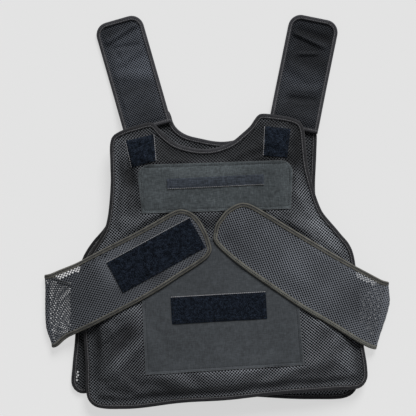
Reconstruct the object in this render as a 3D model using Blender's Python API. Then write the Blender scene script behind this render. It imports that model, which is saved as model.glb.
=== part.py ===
"""A padded mesh vest laid open on its back with its front panel up.

Metres, +Z up. X runs to the wearer's left and Y to the shoulders, so the wearer's right is -X.
All the sizes and tables below are in millimetres and degrees, and MM turns them into metres.
"""

import math

import bmesh
import bpy
from mathutils import Vector
from mathutils.geometry import delaunay_2d_cdt

MM = 0.001
NAME = "mesh_vest"

# Cloth, clearances and edge binding
GAP = 0.3  # clearance between pieces that are sewn together
SLACK = 0.6  # extra clearance under a flap, for the flat facets of two curved cloths
BINDING_WALL = 1.1  # thickness of the tape folded over an edge
PANEL_LIP = 7.0  # how far the tape reaches over a panel
BAND_LIP = 6.0  # how far the tape reaches over a strap or a flap
PANEL_RIM = 4.0  # a panel's thickness inside its binding
BAND_CLOTH = 2.6  # thickness of a strap or a flap
BAND_LEAST = 1.5  # its thickness in the deepest dent
PATCH_CLOTH = 1.6  # thickness of the sewn-on cloths
PATCH_PILE = 1.6  # thickness of hook and loop tape

# Padding
PAD = 14.0  # full thickness of a panel
PAD_RAMP = 40.0  # how far in from the binding the padding reaches it
RIM_RAMP = 5.0  # how far in from the binding the underside comes down to its level
FOLD_RAMP = 20.0  # how far in from the binding a dent or ridge reaches its height

# The front panel's arch over the back panel, which leaves room for the body
SIDE_LIFT = 11.3  # height of the underside at the panel's sides
ARCH = 16.0  # how much higher the middle is
ARCH_FLAT = 85.0  # half width of the level middle
HALF_WIDTH = 209.0

# The middle of the vest's box, in the frame of the tables. It becomes the origin.
MIDDLE = (-0.58, 1.85)

# Outlines from the neck's middle, down the wearer's left side, to the hem's middle
FRONT_HALF = (  # x, y
    (0, 161), (22, 164), (48, 174), (65, 189), (74, 201), (81, 207), (108, 203.5), (130, 197.5),
    (141, 191), (145.5, 180), (146.5, 150), (147.5, 124), (153.5, 89), (159, 67), (164, 53.5),
    (172, 41.5), (181, 29.5), (190, 17), (199.5, 4), (206, -14), (209, -150), (211, -185),
    (208.5, -201), (200, -210.5), (187, -214), (156, -214.5), (95, -214), (0, -215.5),
)
BACK_HALF = (  # x, y
    (0, 161), (22, 164), (48, 174), (65, 189), (74, 201), (81, 207), (108, 203.5), (130, 197.5),
    (141, 191), (145.5, 180), (146.5, 150), (146.5, 93), (150, 68), (158, 46), (172, 22),
    (185, 6), (195, -9), (202, -24), (206, -45), (209, -150), (211, -185), (210.5, -203),
    (207, -213), (199, -219), (187, -221.5), (156, -222), (95, -222), (0, -222.5),
)
FRONT_PLACE = (-0.3, -66.0, 4.45)  # x, y, turn
BACK_PLACE = (-0.5, -54.5, -2.0)  # x, y, turn
OUTLINE_STEP = 28.0  # longest stretch of an outline without a corner
GRID_STEP = 31.0  # spacing of the points inside a panel

# Dents and ridges of the front panel: a line, and a smooth rise or fall to both sides of it
FRONT_FOLDS = (  # x, y, heading, half length, half width, height
    (-123, 33, 100, 38, 11, -3.5),
    (-124, -226, 68, 36, 10, 2.5),
    (12, -255, 2, 60, 20, 2.0),
    (170, -20, -60, 40, 18, 2.5),
    (150, -220, 120, 30, 12, -2.5),
)

# Four-sided cloths on the front panel
CHEST_PANEL = {"place": (-0.9, 37.0, 1.9), "top": 232, "bottom": 220, "height": 70, "corner": 14}
CHEST_STRIP = {"place": (-1.8, 45.4, 2.8), "top": 144.5, "bottom": 144.5, "height": 15, "corner": 0}
POCKET_PANEL = {"place": (6.0, -137.4, 3.6), "top": 231, "bottom": 237, "height": 197, "corner": 0}
POCKET_STRIP = {"place": (3.4, -143.1, 3.3), "top": 142, "bottom": 142, "height": 40, "corner": 0}
SHOULDER_PADS = {  # four corners, x and y
    "right": ((-136.4, 106.5), (-127.2, 66.6), (-90.5, 76.8), (-94.2, 116.1)),
    "left": ((72.0, 128.4), (69.6, 84.5), (105.5, 81.6), (110.7, 124.7)),
}

# Shoulder straps, sewn on the back panel's shoulders
STRAP_WIDTH = 73.5
STRAP_LENGTH = 172.0
STRAP_CORNER = 19.0
STRAP_CROWN = 1.0
STRAP_RAMP = 12.0  # how far in from the binding the crown reaches its height
STRAP_STEP = 15.0
STRAP_PLACES = {"right": (-103.4, 125.7, 16.0), "left": (114.2, 125.5, -11.5)}  # x, y, turn
STRAP_LEVELS = {  # distance from the sewn end, height of the cloth's middle
    "right": ((0, 11.6), (27, 9.9), (42, 6.9), (62, 3.6), (80, 2.7), (172, 2.7)),
    "left": ((0, 10.0), (21, 9.9), (36, 6.9), (56, 3.6), (75, 2.7), (172, 2.7)),
}
STRAP_FOLDS = {  # across, along, heading, half length, half width, height
    "right": ((1, 144, 21, 24, 5, 2.2), (-2, 112, -6, 20, 5, -1.2), (4, 60, 12, 22, 7, 1.2)),
    "left": ((-2, 142, -10, 24, 5, 2.4), (0, 106, 8, 18, 5, 1.8), (2, 46, 6, 24, 7, -1.2)),
}
STRAP_HOOK = {"width": 50, "height": 38, "along": {"right": 128, "left": 124}}

# Waist flaps: sewn end on the back panel's side, rows out to the fold, then rows over the front
FLAP_ROOTS = {"right": (-111, -181.5), "left": (-120, -180)}  # y of the upper and the lower edge
FLAP_UNDER = {  # upper x, upper y, lower x, lower y, bulge
    "right": ((-231.9, -104.3, -227.4, -189.8, 3), (-253.7, -94.2, -243.2, -200.9, 6)),
    "left": ((228.6, -114.0, 218.1, -190.5, 3), (252.6, -104.1, 232.4, -203.3, 7)),
}
FLAP_OVER = {  # upper x, upper y, lower x, lower y, bulge
    "right": (
        (-234.9, -86.4, -225.9, -190.2, 3), (-215.1, -78.6, -206.4, -180.9, 1),
        (-192.2, -67.2, -181.7, -168.9, 0), (-169.2, -54.8, -149.4, -152.0, 0),
        (-141.9, -41.0, -114.9, -133.5, 0), (-114.9, -27.0, -83.4, -114.9, 0),
        (-89.4, -12.6, -51.9, -94.2, 0), (-68.4, -0.5, -30.9, -81.0, 0),
        (-51.9, 4.8, -14.2, -69.0, 0), (-35.2, -0.8, -8.3, -60.6, 0),
        (-22.5, -15.0, -6.8, -54.0, -1.6),
    ),
    "left": (
        (231.6, -93.3, 210.6, -194.4, 3), (206.4, -80.0, 186.6, -179.3, 1),
        (182.1, -66.0, 159.6, -162.8, 0), (158.1, -51.9, 134.1, -148.2, 0),
        (133.1, -37.1, 110.1, -132.9, 0), (108.6, -22.2, 86.1, -116.3, 0),
        (86.1, -8.4, 62.1, -99.8, 0), (68.1, 2.4, 39.6, -83.7, 0),
        (53.9, 10.4, 18.6, -66.9, 0), (39.6, 14.7, 5.1, -54.9, 0),
        (27.5, 11.4, -3.0, -45.2, 0), (12.0, 1.5, -6.0, -38.5, -4.5),
    ),
}
FLAP_BULGE_AT = {"right": 0.7, "left": 0.33}  # share of the width, from the upper edge
FLAP_TIP_BULGE_AT = 0.5
FLAP_SHARES = (0, 0.09, 0.28, 0.5, 0.72, 0.91, 1)  # where the points of a row lie across a flap
FLAP_PINCH = (0.45, 0.6, 1, 1, 1, 0.6, 0.45)  # share of the cloth's thickness at those points
FLAP_ACROSS = len(FLAP_SHARES) - 1
FLAP_SEAM = 0.5  # clearance of a flap's sewn end from the back panel's binding
FOLD_RADIUS = 4.5
FOLD_STEPS = 4
FLAP_BRIDGE = 30.0  # how far out the flap starts to lift over the front panel's padding
FLAP_DROOP = 58.0  # how far out it has come down to the fold
FLAP_LOOP_PATCH = ((-164.0, -75.5), (-139.7, -120.6), (-16.5, -52.4), (-40.8, -8.4))
FLAP_HOOK_PATCH = ((18.0, -18.0), (42.3, -58.0), (146.0, -118.0), (127.0, -56.0))

PANEL_BINDING_HALF = PANEL_RIM / 2 + GAP + BINDING_WALL
BAND_BINDING_HALF = BAND_CLOTH / 2 + GAP + BINDING_WALL
BAND_INSET = BINDING_WALL + GAP
BAND_RINGS = (BAND_LIP + 1, BAND_LIP + 8)  # rings of points inside a strap's edge
PANEL_INSET = BINDING_WALL + 1.1  # more, because a panel's binding leans on the arch
PANEL_LIP_END = PANEL_LIP + 2.5  # where a panel is clear of its binding's lips
PANEL_RINGS = (PANEL_LIP_END, PANEL_LIP_END + 6, PANEL_LIP_END + 19)
BAND_FLOOR = BAND_BINDING_HALF + 0.2  # height of a flap's middle where it lies on the floor
FOLD_TOP = BAND_FLOOR + 2 * FOLD_RADIUS
FLAP_RIDE = GAP + PATCH_CLOTH + GAP + BAND_BINDING_HALF + SLACK

COLOURS = {  # red, green, blue, roughness
    "mesh": (0.030, 0.033, 0.039, 0.85),
    "binding": (0.028, 0.028, 0.029, 0.80),
    "webbing": (0.062, 0.072, 0.075, 0.80),
    "flap_binding": (0.105, 0.107, 0.100, 0.80),
    "loop": (0.010, 0.012, 0.018, 0.95),
    "hook": (0.012, 0.013, 0.016, 0.70),
}


def smoothstep(t):
    t = min(1.0, max(0.0, t))
    return t * t * (3.0 - 2.0 * t)


def turned(point, place):
    """A point of a piece's own frame, in the vest's frame."""
    x, y, turn = place
    angle = math.radians(turn)
    across, along = point
    return (
        x + across * math.cos(angle) - along * math.sin(angle),
        y + across * math.sin(angle) + along * math.cos(angle),
    )


def own(x, y, place):
    """A point of the vest's frame, in a piece's own frame."""
    angle = math.radians(-place[2])
    dx, dy = x - place[0], y - place[1]
    return (
        dx * math.cos(angle) - dy * math.sin(angle),
        dx * math.sin(angle) + dy * math.cos(angle),
    )


def curve_through(points, step):
    """A smooth closed curve through the points, with no stretch much longer than the step."""
    vectors = [Vector(p) for p in points]
    count = len(vectors)
    out = []
    for i in range(count):
        p0, p1, p2, p3 = (vectors[(i + k - 1) % count] for k in range(4))
        t1 = math.sqrt((p1 - p0).length)
        t2 = t1 + math.sqrt((p2 - p1).length)
        t3 = t2 + math.sqrt((p3 - p2).length)
        pieces = max(1, round((p2 - p1).length / step))
        for k in range(pieces):
            t = t1 + (t2 - t1) * k / pieces
            a1 = p0.lerp(p1, t / t1)
            a2 = p1.lerp(p2, (t - t1) / (t2 - t1))
            a3 = p2.lerp(p3, (t - t2) / (t3 - t2))
            b1 = a1.lerp(a2, t / t2)
            b2 = a2.lerp(a3, (t - t1) / (t3 - t1))
            out.append(tuple(b1.lerp(b2, (t - t1) / (t2 - t1))))
    return out


class Outline:
    """A closed loop of points, anticlockwise."""

    def __init__(self, points):
        following = points[1:] + points[:1]
        area = sum(a[0] * b[1] - a[1] * b[0] for a, b in zip(points, following))
        self.points = points if area > 0 else points[::-1]

    def outward(self):
        """The direction out of the loop at each point."""
        out = []
        for i, point in enumerate(self.points):
            before = Vector(self.points[i - 1])
            after = Vector(self.points[(i + 1) % len(self.points)])
            first = (Vector(point) - before).normalized()
            second = (after - Vector(point)).normalized()
            middle = (first + second).normalized()
            out.append(Vector((middle.y, -middle.x)))
        return out

    def inset(self, distance):
        pairs = zip(self.points, self.outward())
        return [(p[0] - distance * n.x, p[1] - distance * n.y) for p, n in pairs]

    def depth(self, x, y):
        """The distance to the loop, above zero inside it."""
        nearest = math.inf
        inside = False
        for i, (bx, by) in enumerate(self.points):
            ax, ay = self.points[i - 1]
            ex, ey = bx - ax, by - ay
            share = ((x - ax) * ex + (y - ay) * ey) / (ex * ex + ey * ey)
            share = min(1.0, max(0.0, share))
            nearest = min(nearest, math.hypot(x - ax - share * ex, y - ay - share * ey))
            if (ay > y) != (by > y) and x < ax + (y - ay) / (by - ay) * ex:
                inside = not inside
        return nearest if inside else -nearest


def panel_outline(half, place):
    points = [turned(p, place) for p in half]
    other = [turned((-x, y), place) for x, y in half[-2:0:-1]]
    return Outline(curve_through(points + other, OUTLINE_STEP))


def four_sided(shape):
    """A cloth with straight sides and two round upper corners, as a convex outline."""
    top, bottom, high = shape["top"] / 2, shape["bottom"] / 2, shape["height"] / 2
    corner = shape["corner"]
    points = [(-bottom, -high), (bottom, -high)]
    steps = 4 if corner else 0
    for side in (1, -1):
        for k in range(steps + 1):
            angle = math.radians(90 * k / max(1, steps) + (0 if side == 1 else 90))
            x = side * (top - corner) + corner * math.cos(angle)
            points.append((x, high - corner + corner * math.sin(angle)))
    return Outline([turned(p, shape["place"]) for p in points])


def fold_height(x, y, folds):
    """The rise or fall that a table of folds gives at a point."""
    height = 0.0
    for fold_x, fold_y, heading, half_length, half_width, rise in folds:
        along, across = own(x, y, (fold_x, fold_y, heading))
        if abs(along) < half_length * 1.5 and abs(across) < half_width * 2:
            ends = smoothstep(1.5 - abs(along) / half_length)
            height += rise * ends * smoothstep(1 - abs(across) / (half_width * 2))
    return height


def fold_points(folds):
    """Points along each fold and beside it, so that the facets follow it."""
    points = []
    for fold_x, fold_y, heading, half_length, half_width, _ in folds:
        for share in (-1.2, -0.6, 0.0, 0.6, 1.2):
            for side in (-1.6, 0.0, 1.6):
                place = (fold_x, fold_y, heading)
                points.append(turned((share * half_length, side * half_width), place))
    return points


def pad_swell(depth):
    """How far a panel's top lies above its underside."""
    rim_top = PANEL_BINDING_HALF + PANEL_RIM / 2
    return rim_top + (PAD - rim_top) * smoothstep((depth - PANEL_LIP_END) / PAD_RAMP)


def rim_raise(depth):
    """How far a panel's underside is raised inside its binding."""
    inside = smoothstep((depth - PANEL_LIP_END) / RIM_RAMP)
    return (PANEL_BINDING_HALF - PANEL_RIM / 2) * (1 - inside)


def front_base(x, y):
    """The height of the front panel's underside."""
    across = abs(own(x, y, FRONT_PLACE)[0])
    share = max(0.0, across - ARCH_FLAT) / (HALF_WIDTH - ARCH_FLAT)
    return SIDE_LIFT + ARCH * (1 - share * share)


def front_top(x, y, depth):
    folds = fold_height(x, y, FRONT_FOLDS) * smoothstep((depth - PANEL_LIP_END) / FOLD_RAMP)
    return front_base(x, y) + pad_swell(depth) + folds


def new_object(name, bm, colour):
    """One named object with its own material, from a mesh in millimetres."""
    bmesh.ops.recalc_face_normals(bm, faces=bm.faces)
    bmesh.ops.triangulate(bm, faces=bm.faces)
    bmesh.ops.translate(bm, vec=(-MIDDLE[0], -MIDDLE[1], 0), verts=bm.verts)
    bmesh.ops.scale(bm, vec=(MM, MM, MM), verts=bm.verts)
    mesh = bpy.data.meshes.new(name)
    bm.to_mesh(mesh)
    bm.free()
    material = bpy.data.materials.new(name)
    material.use_nodes = True
    red, green, blue, roughness = COLOURS[colour]
    shader = material.node_tree.nodes["Principled BSDF"]
    shader.inputs["Base Color"].default_value = (red, green, blue, 1)
    shader.inputs["Roughness"].default_value = roughness
    mesh.materials.append(material)
    mesh.shade_smooth()
    mesh.set_sharp_from_angle(angle=math.radians(40))
    bpy.data.collections[NAME].objects.link(bpy.data.objects.new(name, mesh))


def flat_net(outline, first_inset, rings, step, extra):
    """A flat net of triangles inside an outline: rings along its edge, and a grid inside them."""
    loop = outline.inset(first_inset)
    lip = outline.inset(rings[0])
    count = len(loop)
    edges = [(count + i, count + (i + 1) % count) for i in range(count)]
    points = loop + lip
    for distance in rings[1:]:
        ring = outline.inset(distance)
        points += [p for p in ring if outline.depth(*p) > 0.85 * distance]
    keep_off = rings[-1] + 0.45 * step
    left, right = min(p[0] for p in loop), max(p[0] for p in loop)
    low, high = min(p[1] for p in loop), max(p[1] for p in loop)
    inner = [p for p in extra if outline.depth(*p) > rings[0] + 3]
    for row in range(int((high - low) / step) + 1):
        shift = 0.5 * step * (row % 2)
        for column in range(int((right - left) / step) + 1):
            x = left + shift + column * step
            y = low + row * step
            clear = all(math.hypot(x - p[0], y - p[1]) > 0.5 * step for p in inner)
            if clear and outline.depth(x, y) > keep_off:
                points.append((x, y))
    points += inner
    vectors = [Vector(p) for p in points]
    verts, _, faces, _, _, _ = delaunay_2d_cdt(vectors, edges, [list(range(count))], 1, 0.01)
    net = bmesh.new()
    made = [net.verts.new((v.x, v.y, 0)) for v in verts]
    for corners in faces:
        net.faces.new([made[i] for i in corners])
    bmesh.ops.recalc_face_normals(net, faces=net.faces)
    return net


def thick(net, lower, upper):
    """A closed solid from a net: its underside at one height function and its top at another."""
    solid = net.copy()
    grown = bmesh.ops.extrude_face_region(solid, geom=solid.faces[:])
    top = {v for v in grown["geom"] if isinstance(v, bmesh.types.BMVert)}
    for vert in solid.verts:
        height = upper if vert in top else lower
        vert.co.z = height(vert.co.x, vert.co.y)
    return solid


def at_height(net, height):
    """The net lifted to a height function, for what is laid on it."""
    skin = net.copy()
    for vert in skin.verts:
        vert.co.z = height(vert.co.x, vert.co.y)
    return skin


def cut_from(skin, outline, shift):
    """The part of a skin inside a convex outline, moved up or down."""
    piece = skin.copy()
    for i, point in enumerate(outline.points):
        before = outline.points[i - 1]
        side = Vector((point[0] - before[0], point[1] - before[1], 0)).normalized()
        everything = piece.verts[:] + piece.edges[:] + piece.faces[:]
        bmesh.ops.bisect_plane(
            piece, geom=everything, plane_co=(point[0], point[1], 0),
            plane_no=(side.y, -side.x, 0), clear_outer=True, dist=0.001,
        )
    bmesh.ops.remove_doubles(piece, verts=piece.verts, dist=0.05)
    bmesh.ops.translate(piece, vec=(0, 0, shift), verts=piece.verts)
    return piece


def laid_on(skin, outline, thickness):
    """A cloth on a skin, and the skin that it has itself."""
    sheet = cut_from(skin, outline, GAP)
    own_skin = sheet.copy()
    bmesh.ops.translate(own_skin, vec=(0, 0, thickness), verts=own_skin.verts)
    grown = bmesh.ops.extrude_face_region(sheet, geom=sheet.faces[:])
    top = [v for v in grown["geom"] if isinstance(v, bmesh.types.BMVert)]
    bmesh.ops.translate(sheet, vec=(0, 0, thickness), verts=top)
    bmesh.ops.dissolve_limit(sheet, angle_limit=0.001, verts=sheet.verts, edges=sheet.edges)
    return sheet, own_skin


def binding(frames, closed, lip, half):
    """A tape folded over an edge, along frames of edge point, cloth normal and way out."""
    wall = BINDING_WALL
    profile = (  # out of the edge, along the normal
        (-lip, half), (0, half), (0, -half), (-lip, -half),
        (-lip, wall - half), (-wall, wall - half), (-wall, half - wall), (-lip, half - wall),
    )
    tape = bmesh.new()
    sections = []
    for edge, normal, way_out in frames:
        ring = [tape.verts.new(edge + way_out * out + normal * up) for out, up in profile]
        sections.append(ring)
    spans = list(zip(sections, sections[1:] + sections[:1]))
    for first, second in spans if closed else spans[:-1]:
        for k in range(len(profile)):
            tape.faces.new((first[k - 1], first[k], second[k], second[k - 1]))
    if not closed:
        tape.faces.new(sections[0])
        tape.faces.new(sections[-1])
    return tape


def level_frames(outline, height):
    """Binding frames along an outline that lies on a height function."""
    frames = []
    for (x, y), out in zip(outline.points, outline.outward()):
        slope_x = (height(x + 1, y) - height(x - 1, y)) / 2
        slope_y = (height(x, y + 1) - height(x, y - 1)) / 2
        normal = Vector((-slope_x, -slope_y, 1)).normalized()
        way_out = Vector((out.x, out.y, slope_x * out.x + slope_y * out.y)).normalized()
        frames.append((Vector((x, y, height(x, y))), normal, way_out))
    return frames


def make_panel(name, outline, base, top, folds):
    """A padded panel and the binding round it, and the panel's top skin."""
    net = flat_net(outline, PANEL_INSET, PANEL_RINGS, GRID_STEP, fold_points(folds))

    def lower(x, y):
        return base(x, y) + rim_raise(outline.depth(x, y))

    def upper(x, y):
        return top(x, y, outline.depth(x, y))

    def middle(x, y):
        return base(x, y) + PANEL_BINDING_HALF

    new_object(name, thick(net, lower, upper), "mesh")
    frames = level_frames(outline, middle)
    new_object(name + "_binding", binding(frames, True, PANEL_LIP, PANEL_BINDING_HALF), "binding")
    return at_height(net, upper)


def make_patches(front_skin):
    """The cloths and the loop tapes that are sewn on the front panel."""
    chest, chest_skin = laid_on(front_skin, four_sided(CHEST_PANEL), PATCH_CLOTH)
    new_object("chest_panel", chest, "webbing")
    strip, _ = laid_on(chest_skin, four_sided(CHEST_STRIP), PATCH_PILE)
    new_object("chest_strip", strip, "loop")
    pocket, pocket_skin = laid_on(front_skin, four_sided(POCKET_PANEL), PATCH_CLOTH)
    new_object("pocket_panel", pocket, "webbing")
    strip, _ = laid_on(pocket_skin, four_sided(POCKET_STRIP), PATCH_PILE)
    new_object("pocket_loop_strip", strip, "loop")
    for side, corners in SHOULDER_PADS.items():
        pad, _ = laid_on(front_skin, Outline(list(corners)), PATCH_PILE)
        new_object("shoulder_pad_" + side, pad, "loop")


def strap_outline(place):
    """A band with a square sewn end and a tip with two round corners."""
    half = STRAP_WIDTH / 2
    points = []
    for k in range(3):
        points.append((half * (k - 1), 0))
    for k in range(1, 7):
        points.append((half, (STRAP_LENGTH - STRAP_CORNER) * k / 7))
    for side in (1, -1):
        for k in range(5):
            angle = math.radians(22.5 * k + (0 if side == 1 else 90))
            x = side * (half - STRAP_CORNER) + STRAP_CORNER * math.cos(angle)
            points.append((x, STRAP_LENGTH - STRAP_CORNER + STRAP_CORNER * math.sin(angle)))
    for k in range(6, 0, -1):
        points.append((-half, (STRAP_LENGTH - STRAP_CORNER) * k / 7))
    return Outline([turned(p, place) for p in points])


def strap_level(side, along):
    """The height of a strap's middle at its edges, down off the back panel to the floor."""
    levels = STRAP_LEVELS[side]
    for (start, high), (end, low) in zip(levels, levels[1:]):
        if along <= end:
            return high + (low - high) * max(0.0, along - start) / (end - start)
    return levels[-1][1]


def make_strap(side):
    """A shoulder strap, its binding, and the hook tape under its tip."""
    place = STRAP_PLACES[side]
    folds = STRAP_FOLDS[side]
    outline = strap_outline(place)
    extra = [turned(p, place) for p in fold_points(folds)]
    net = flat_net(outline, BAND_INSET, BAND_RINGS, STRAP_STEP, extra)

    def middle(x, y):
        return strap_level(side, own(x, y, place)[1])

    def crowned(x, y, rise):
        inside = smoothstep((outline.depth(x, y) - BAND_RINGS[0]) / STRAP_RAMP)
        return middle(x, y) + inside * (STRAP_CROWN + rise)

    def under(x, y):
        rise = fold_height(*own(x, y, place), folds)
        return crowned(x, y, max(0.0, rise)) - BAND_CLOTH / 2

    def upper(x, y):
        rise = fold_height(*own(x, y, place), folds)
        return max(crowned(x, y, rise) + BAND_CLOTH / 2, under(x, y) + BAND_LEAST)

    new_object("shoulder_strap_" + side, thick(net, under, upper), "mesh")
    frames = level_frames(outline, middle)
    tape = binding(frames, True, BAND_LIP, BAND_BINDING_HALF)
    new_object("shoulder_strap_binding_" + side, tape, "binding")

    hook = {
        "place": (*turned((0, STRAP_HOOK["along"][side]), place), place[2]),
        "top": STRAP_HOOK["width"], "bottom": STRAP_HOOK["width"],
        "height": STRAP_HOOK["height"], "corner": 0,
    }
    tape = cut_from(at_height(net, under), four_sided(hook), -GAP)
    grown = bmesh.ops.extrude_face_region(tape, geom=tape.faces[:])
    for vert in grown["geom"]:
        if isinstance(vert, bmesh.types.BMVert):
            vert.co.z = GAP
    new_object("shoulder_strap_hook_" + side, tape, "hook")


def flap_height(front, x, y):
    """The height of a flap's middle over the front panel, and outside it down to the fold."""
    depth = front.depth(x, y)
    folds = max(0.0, fold_height(x, y, FRONT_FOLDS))
    base = max(SIDE_LIFT, front_base(x, y))
    over = base + pad_swell(depth + FLAP_BRIDGE) + folds + FLAP_RIDE
    return over + (FOLD_TOP - over) * smoothstep(-depth / FLAP_DROOP)


def side_x(outline, y, sign):
    """Where an outline's side crosses a height y, on the wearer's left or right."""
    found = []
    for i, (bx, by) in enumerate(outline.points):
        ax, ay = outline.points[i - 1]
        if (ay > y) != (by > y):
            found.append(ax + (y - ay) / (by - ay) * (bx - ax))
    return max(found) if sign > 0 else min(found)


def flap_rows(side, front, back):
    """The rows of points of a flap's middle surface, from its sewn end to its tip."""
    sign = 1 if side == "left" else -1

    def across(row, height):
        upper_x, upper_y, lower_x, lower_y, bulge = row
        peak = FLAP_BULGE_AT[side] if bulge > 0 else FLAP_TIP_BULGE_AT
        points = []
        for share in FLAP_SHARES:
            near = share / peak if share < peak else (1 - share) / (1 - peak)
            x = upper_x + (lower_x - upper_x) * share + sign * bulge * smoothstep(near)
            y = upper_y + (lower_y - upper_y) * share
            points.append(Vector((x, y, height(x, y))))
        return points

    upper_y, lower_y = FLAP_ROOTS[side]
    upper_x = side_x(back, upper_y, sign) + sign * FLAP_SEAM
    lower_x = side_x(back, lower_y, sign) + sign * FLAP_SEAM
    rows = [across((upper_x, upper_y, lower_x, lower_y, 0), lambda x, y: PANEL_BINDING_HALF)]
    rows += [across(row, lambda x, y: BAND_FLOOR) for row in FLAP_UNDER[side]]
    fold = rows[-1]
    crease = (fold[-1] - fold[0]).normalized()
    way_out = Vector((-crease.y, crease.x, 0)) * sign
    for k in range(1, FOLD_STEPS + 1):
        angle = math.pi * k / FOLD_STEPS
        lift = Vector((0, 0, FOLD_RADIUS * (1 - math.cos(angle))))
        rows.append([p + lift + way_out * FOLD_RADIUS * math.sin(angle) for p in fold])
    rows += [across(row, lambda x, y: flap_height(front, x, y)) for row in FLAP_OVER[side]]
    return rows


def row_normals(rows):
    """The normal of a surface of rows at each of its points."""
    out = []
    for i, row in enumerate(rows):
        before, after = rows[max(0, i - 1)], rows[min(len(rows) - 1, i + 1)]
        normals = []
        for k in range(len(row)):
            along = after[k] - before[k]
            across = row[min(len(row) - 1, k + 1)] - row[max(0, k - 1)]
            normals.append(along.cross(across).normalized())
        middle = normals[len(row) // 2]
        out.append([n if n.dot(middle) > 0 else -n for n in normals])
    return out


def make_flap(side, front, back):
    """A waist flap with its binding, and the top and under skins of the part over the front."""
    rows = flap_rows(side, front, back)
    normals = row_normals(rows)
    last = len(rows) - 1
    edge = [(i, 0) for i in range(last + 1)]
    edge += [(last, k) for k in range(1, FLAP_ACROSS)]
    edge += [(i, FLAP_ACROSS) for i in range(last, -1, -1)]
    points = [rows[i][k] for i, k in edge]
    frames = []
    for n, (i, k) in enumerate(edge):
        along = points[min(len(points) - 1, n + 1)] - points[max(0, n - 1)]
        along.normalize()
        inner = {0: rows[i][1], FLAP_ACROSS: rows[i][-2]}.get(k, rows[i - 1][k])
        way_out = points[n] - inner
        way_out = (way_out - along * way_out.dot(along)).normalized()
        normal = along.cross(way_out)
        if normal.dot(normals[i][k]) < 0:
            normal = -normal
        normals[i][k] = normal
        frames.append((points[n].copy(), normal, way_out))
    tape = binding(frames, False, BAND_LIP, BAND_BINDING_HALF)
    new_object("waist_flap_binding_" + side, tape, "flap_binding")

    for (i, k), (point, _, way_out) in zip(edge, frames):
        rows[i][k] = point - way_out * BAND_INSET
    cloth = bmesh.new()
    skins = []
    for offset in (BAND_CLOTH / 2, -BAND_CLOTH / 2):
        skin = []
        for row, row_normal in zip(rows, normals):
            layer = zip(row, row_normal, FLAP_PINCH)
            skin.append([cloth.verts.new(p + n * offset * pinch) for p, n, pinch in layer])
        for first, second in zip(skin, skin[1:]):
            for k in range(FLAP_ACROSS):
                cloth.faces.new((first[k], first[k + 1], second[k + 1], second[k]))
        skins.append(skin)
    steps = [((i, k), (i + 1, k)) for i in range(last) for k in (0, FLAP_ACROSS)]
    steps += [((i, k), (i, k + 1)) for i in (0, last) for k in range(FLAP_ACROSS)]
    for start, end in steps:
        corners = [skins[0][start[0]][start[1]], skins[0][end[0]][end[1]]]
        corners += [skins[1][end[0]][end[1]], skins[1][start[0]][start[1]]]
        cloth.faces.new(corners)
    over = len(rows) - len(FLAP_OVER[side])
    over_skins = []
    for skin in skins:
        sheet = bmesh.new()
        copies = [[sheet.verts.new(v.co) for v in row] for row in skin[over:]]
        for first, second in zip(copies, copies[1:]):
            for k in range(FLAP_ACROSS):
                sheet.faces.new((first[k], first[k + 1], second[k + 1], second[k]))
        bmesh.ops.triangulate(sheet, faces=sheet.faces)
        over_skins.append(sheet)
    over_skins.sort(key=lambda sheet: -sum(v.co.z for v in sheet.verts))
    new_object("waist_flap_" + side, cloth, "mesh")
    return over_skins


def main():
    for old in list(bpy.data.objects):
        bpy.data.objects.remove(old, do_unlink=True)
    bpy.context.scene.collection.children.link(bpy.data.collections.new(NAME))

    front = panel_outline(FRONT_HALF, FRONT_PLACE)
    back = panel_outline(BACK_HALF, BACK_PLACE)
    make_panel("back_panel", back, lambda x, y: 0.0, lambda x, y, depth: pad_swell(depth), ())
    front_skin = make_panel("front_panel", front, front_base, front_top, FRONT_FOLDS)
    make_patches(front_skin)
    for side in ("right", "left"):
        make_strap(side)
    top_skin, _ = make_flap("right", front, back)
    patch, _ = laid_on(top_skin, Outline(list(FLAP_LOOP_PATCH)), PATCH_PILE)
    new_object("flap_loop_patch", patch, "loop")
    _, under_skin = make_flap("left", front, back)
    hook = cut_from(under_skin, Outline(list(FLAP_HOOK_PATCH)), -GAP)
    grown = bmesh.ops.extrude_face_region(hook, geom=hook.faces[:])
    lowered = [v for v in grown["geom"] if isinstance(v, bmesh.types.BMVert)]
    bmesh.ops.translate(hook, vec=(0, 0, -PATCH_PILE), verts=lowered)
    new_object("flap_hook_patch", hook, "hook")


main()
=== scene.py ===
"""The looks of the padded mesh vest: net cloth, bindings, stitches, woven cloths and pile.

The tables of shapes below repeat the part's own, in millimetres and degrees, so each piece lies
where its node does. Left and right are the wearer's, and +X is the wearer's left.
"""

import math

import bpy
import numpy as np
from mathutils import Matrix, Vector
from mathutils.bvhtree import BVHTree


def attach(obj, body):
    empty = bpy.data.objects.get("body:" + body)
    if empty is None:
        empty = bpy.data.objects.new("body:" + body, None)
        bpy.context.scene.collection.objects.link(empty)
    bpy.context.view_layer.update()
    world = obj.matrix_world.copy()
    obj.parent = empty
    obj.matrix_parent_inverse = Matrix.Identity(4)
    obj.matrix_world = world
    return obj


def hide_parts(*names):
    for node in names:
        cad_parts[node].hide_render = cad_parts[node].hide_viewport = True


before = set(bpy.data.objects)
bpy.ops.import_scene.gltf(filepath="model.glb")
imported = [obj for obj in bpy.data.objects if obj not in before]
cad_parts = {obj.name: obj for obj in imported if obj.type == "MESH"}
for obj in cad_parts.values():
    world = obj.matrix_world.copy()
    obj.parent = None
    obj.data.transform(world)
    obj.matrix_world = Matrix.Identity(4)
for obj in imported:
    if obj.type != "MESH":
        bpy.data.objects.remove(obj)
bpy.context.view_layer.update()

MM = 0.001
MIDDLE = np.array([-0.58, 1.85, 0.0])  # the row frame's origin, in the frame of the tables

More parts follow.
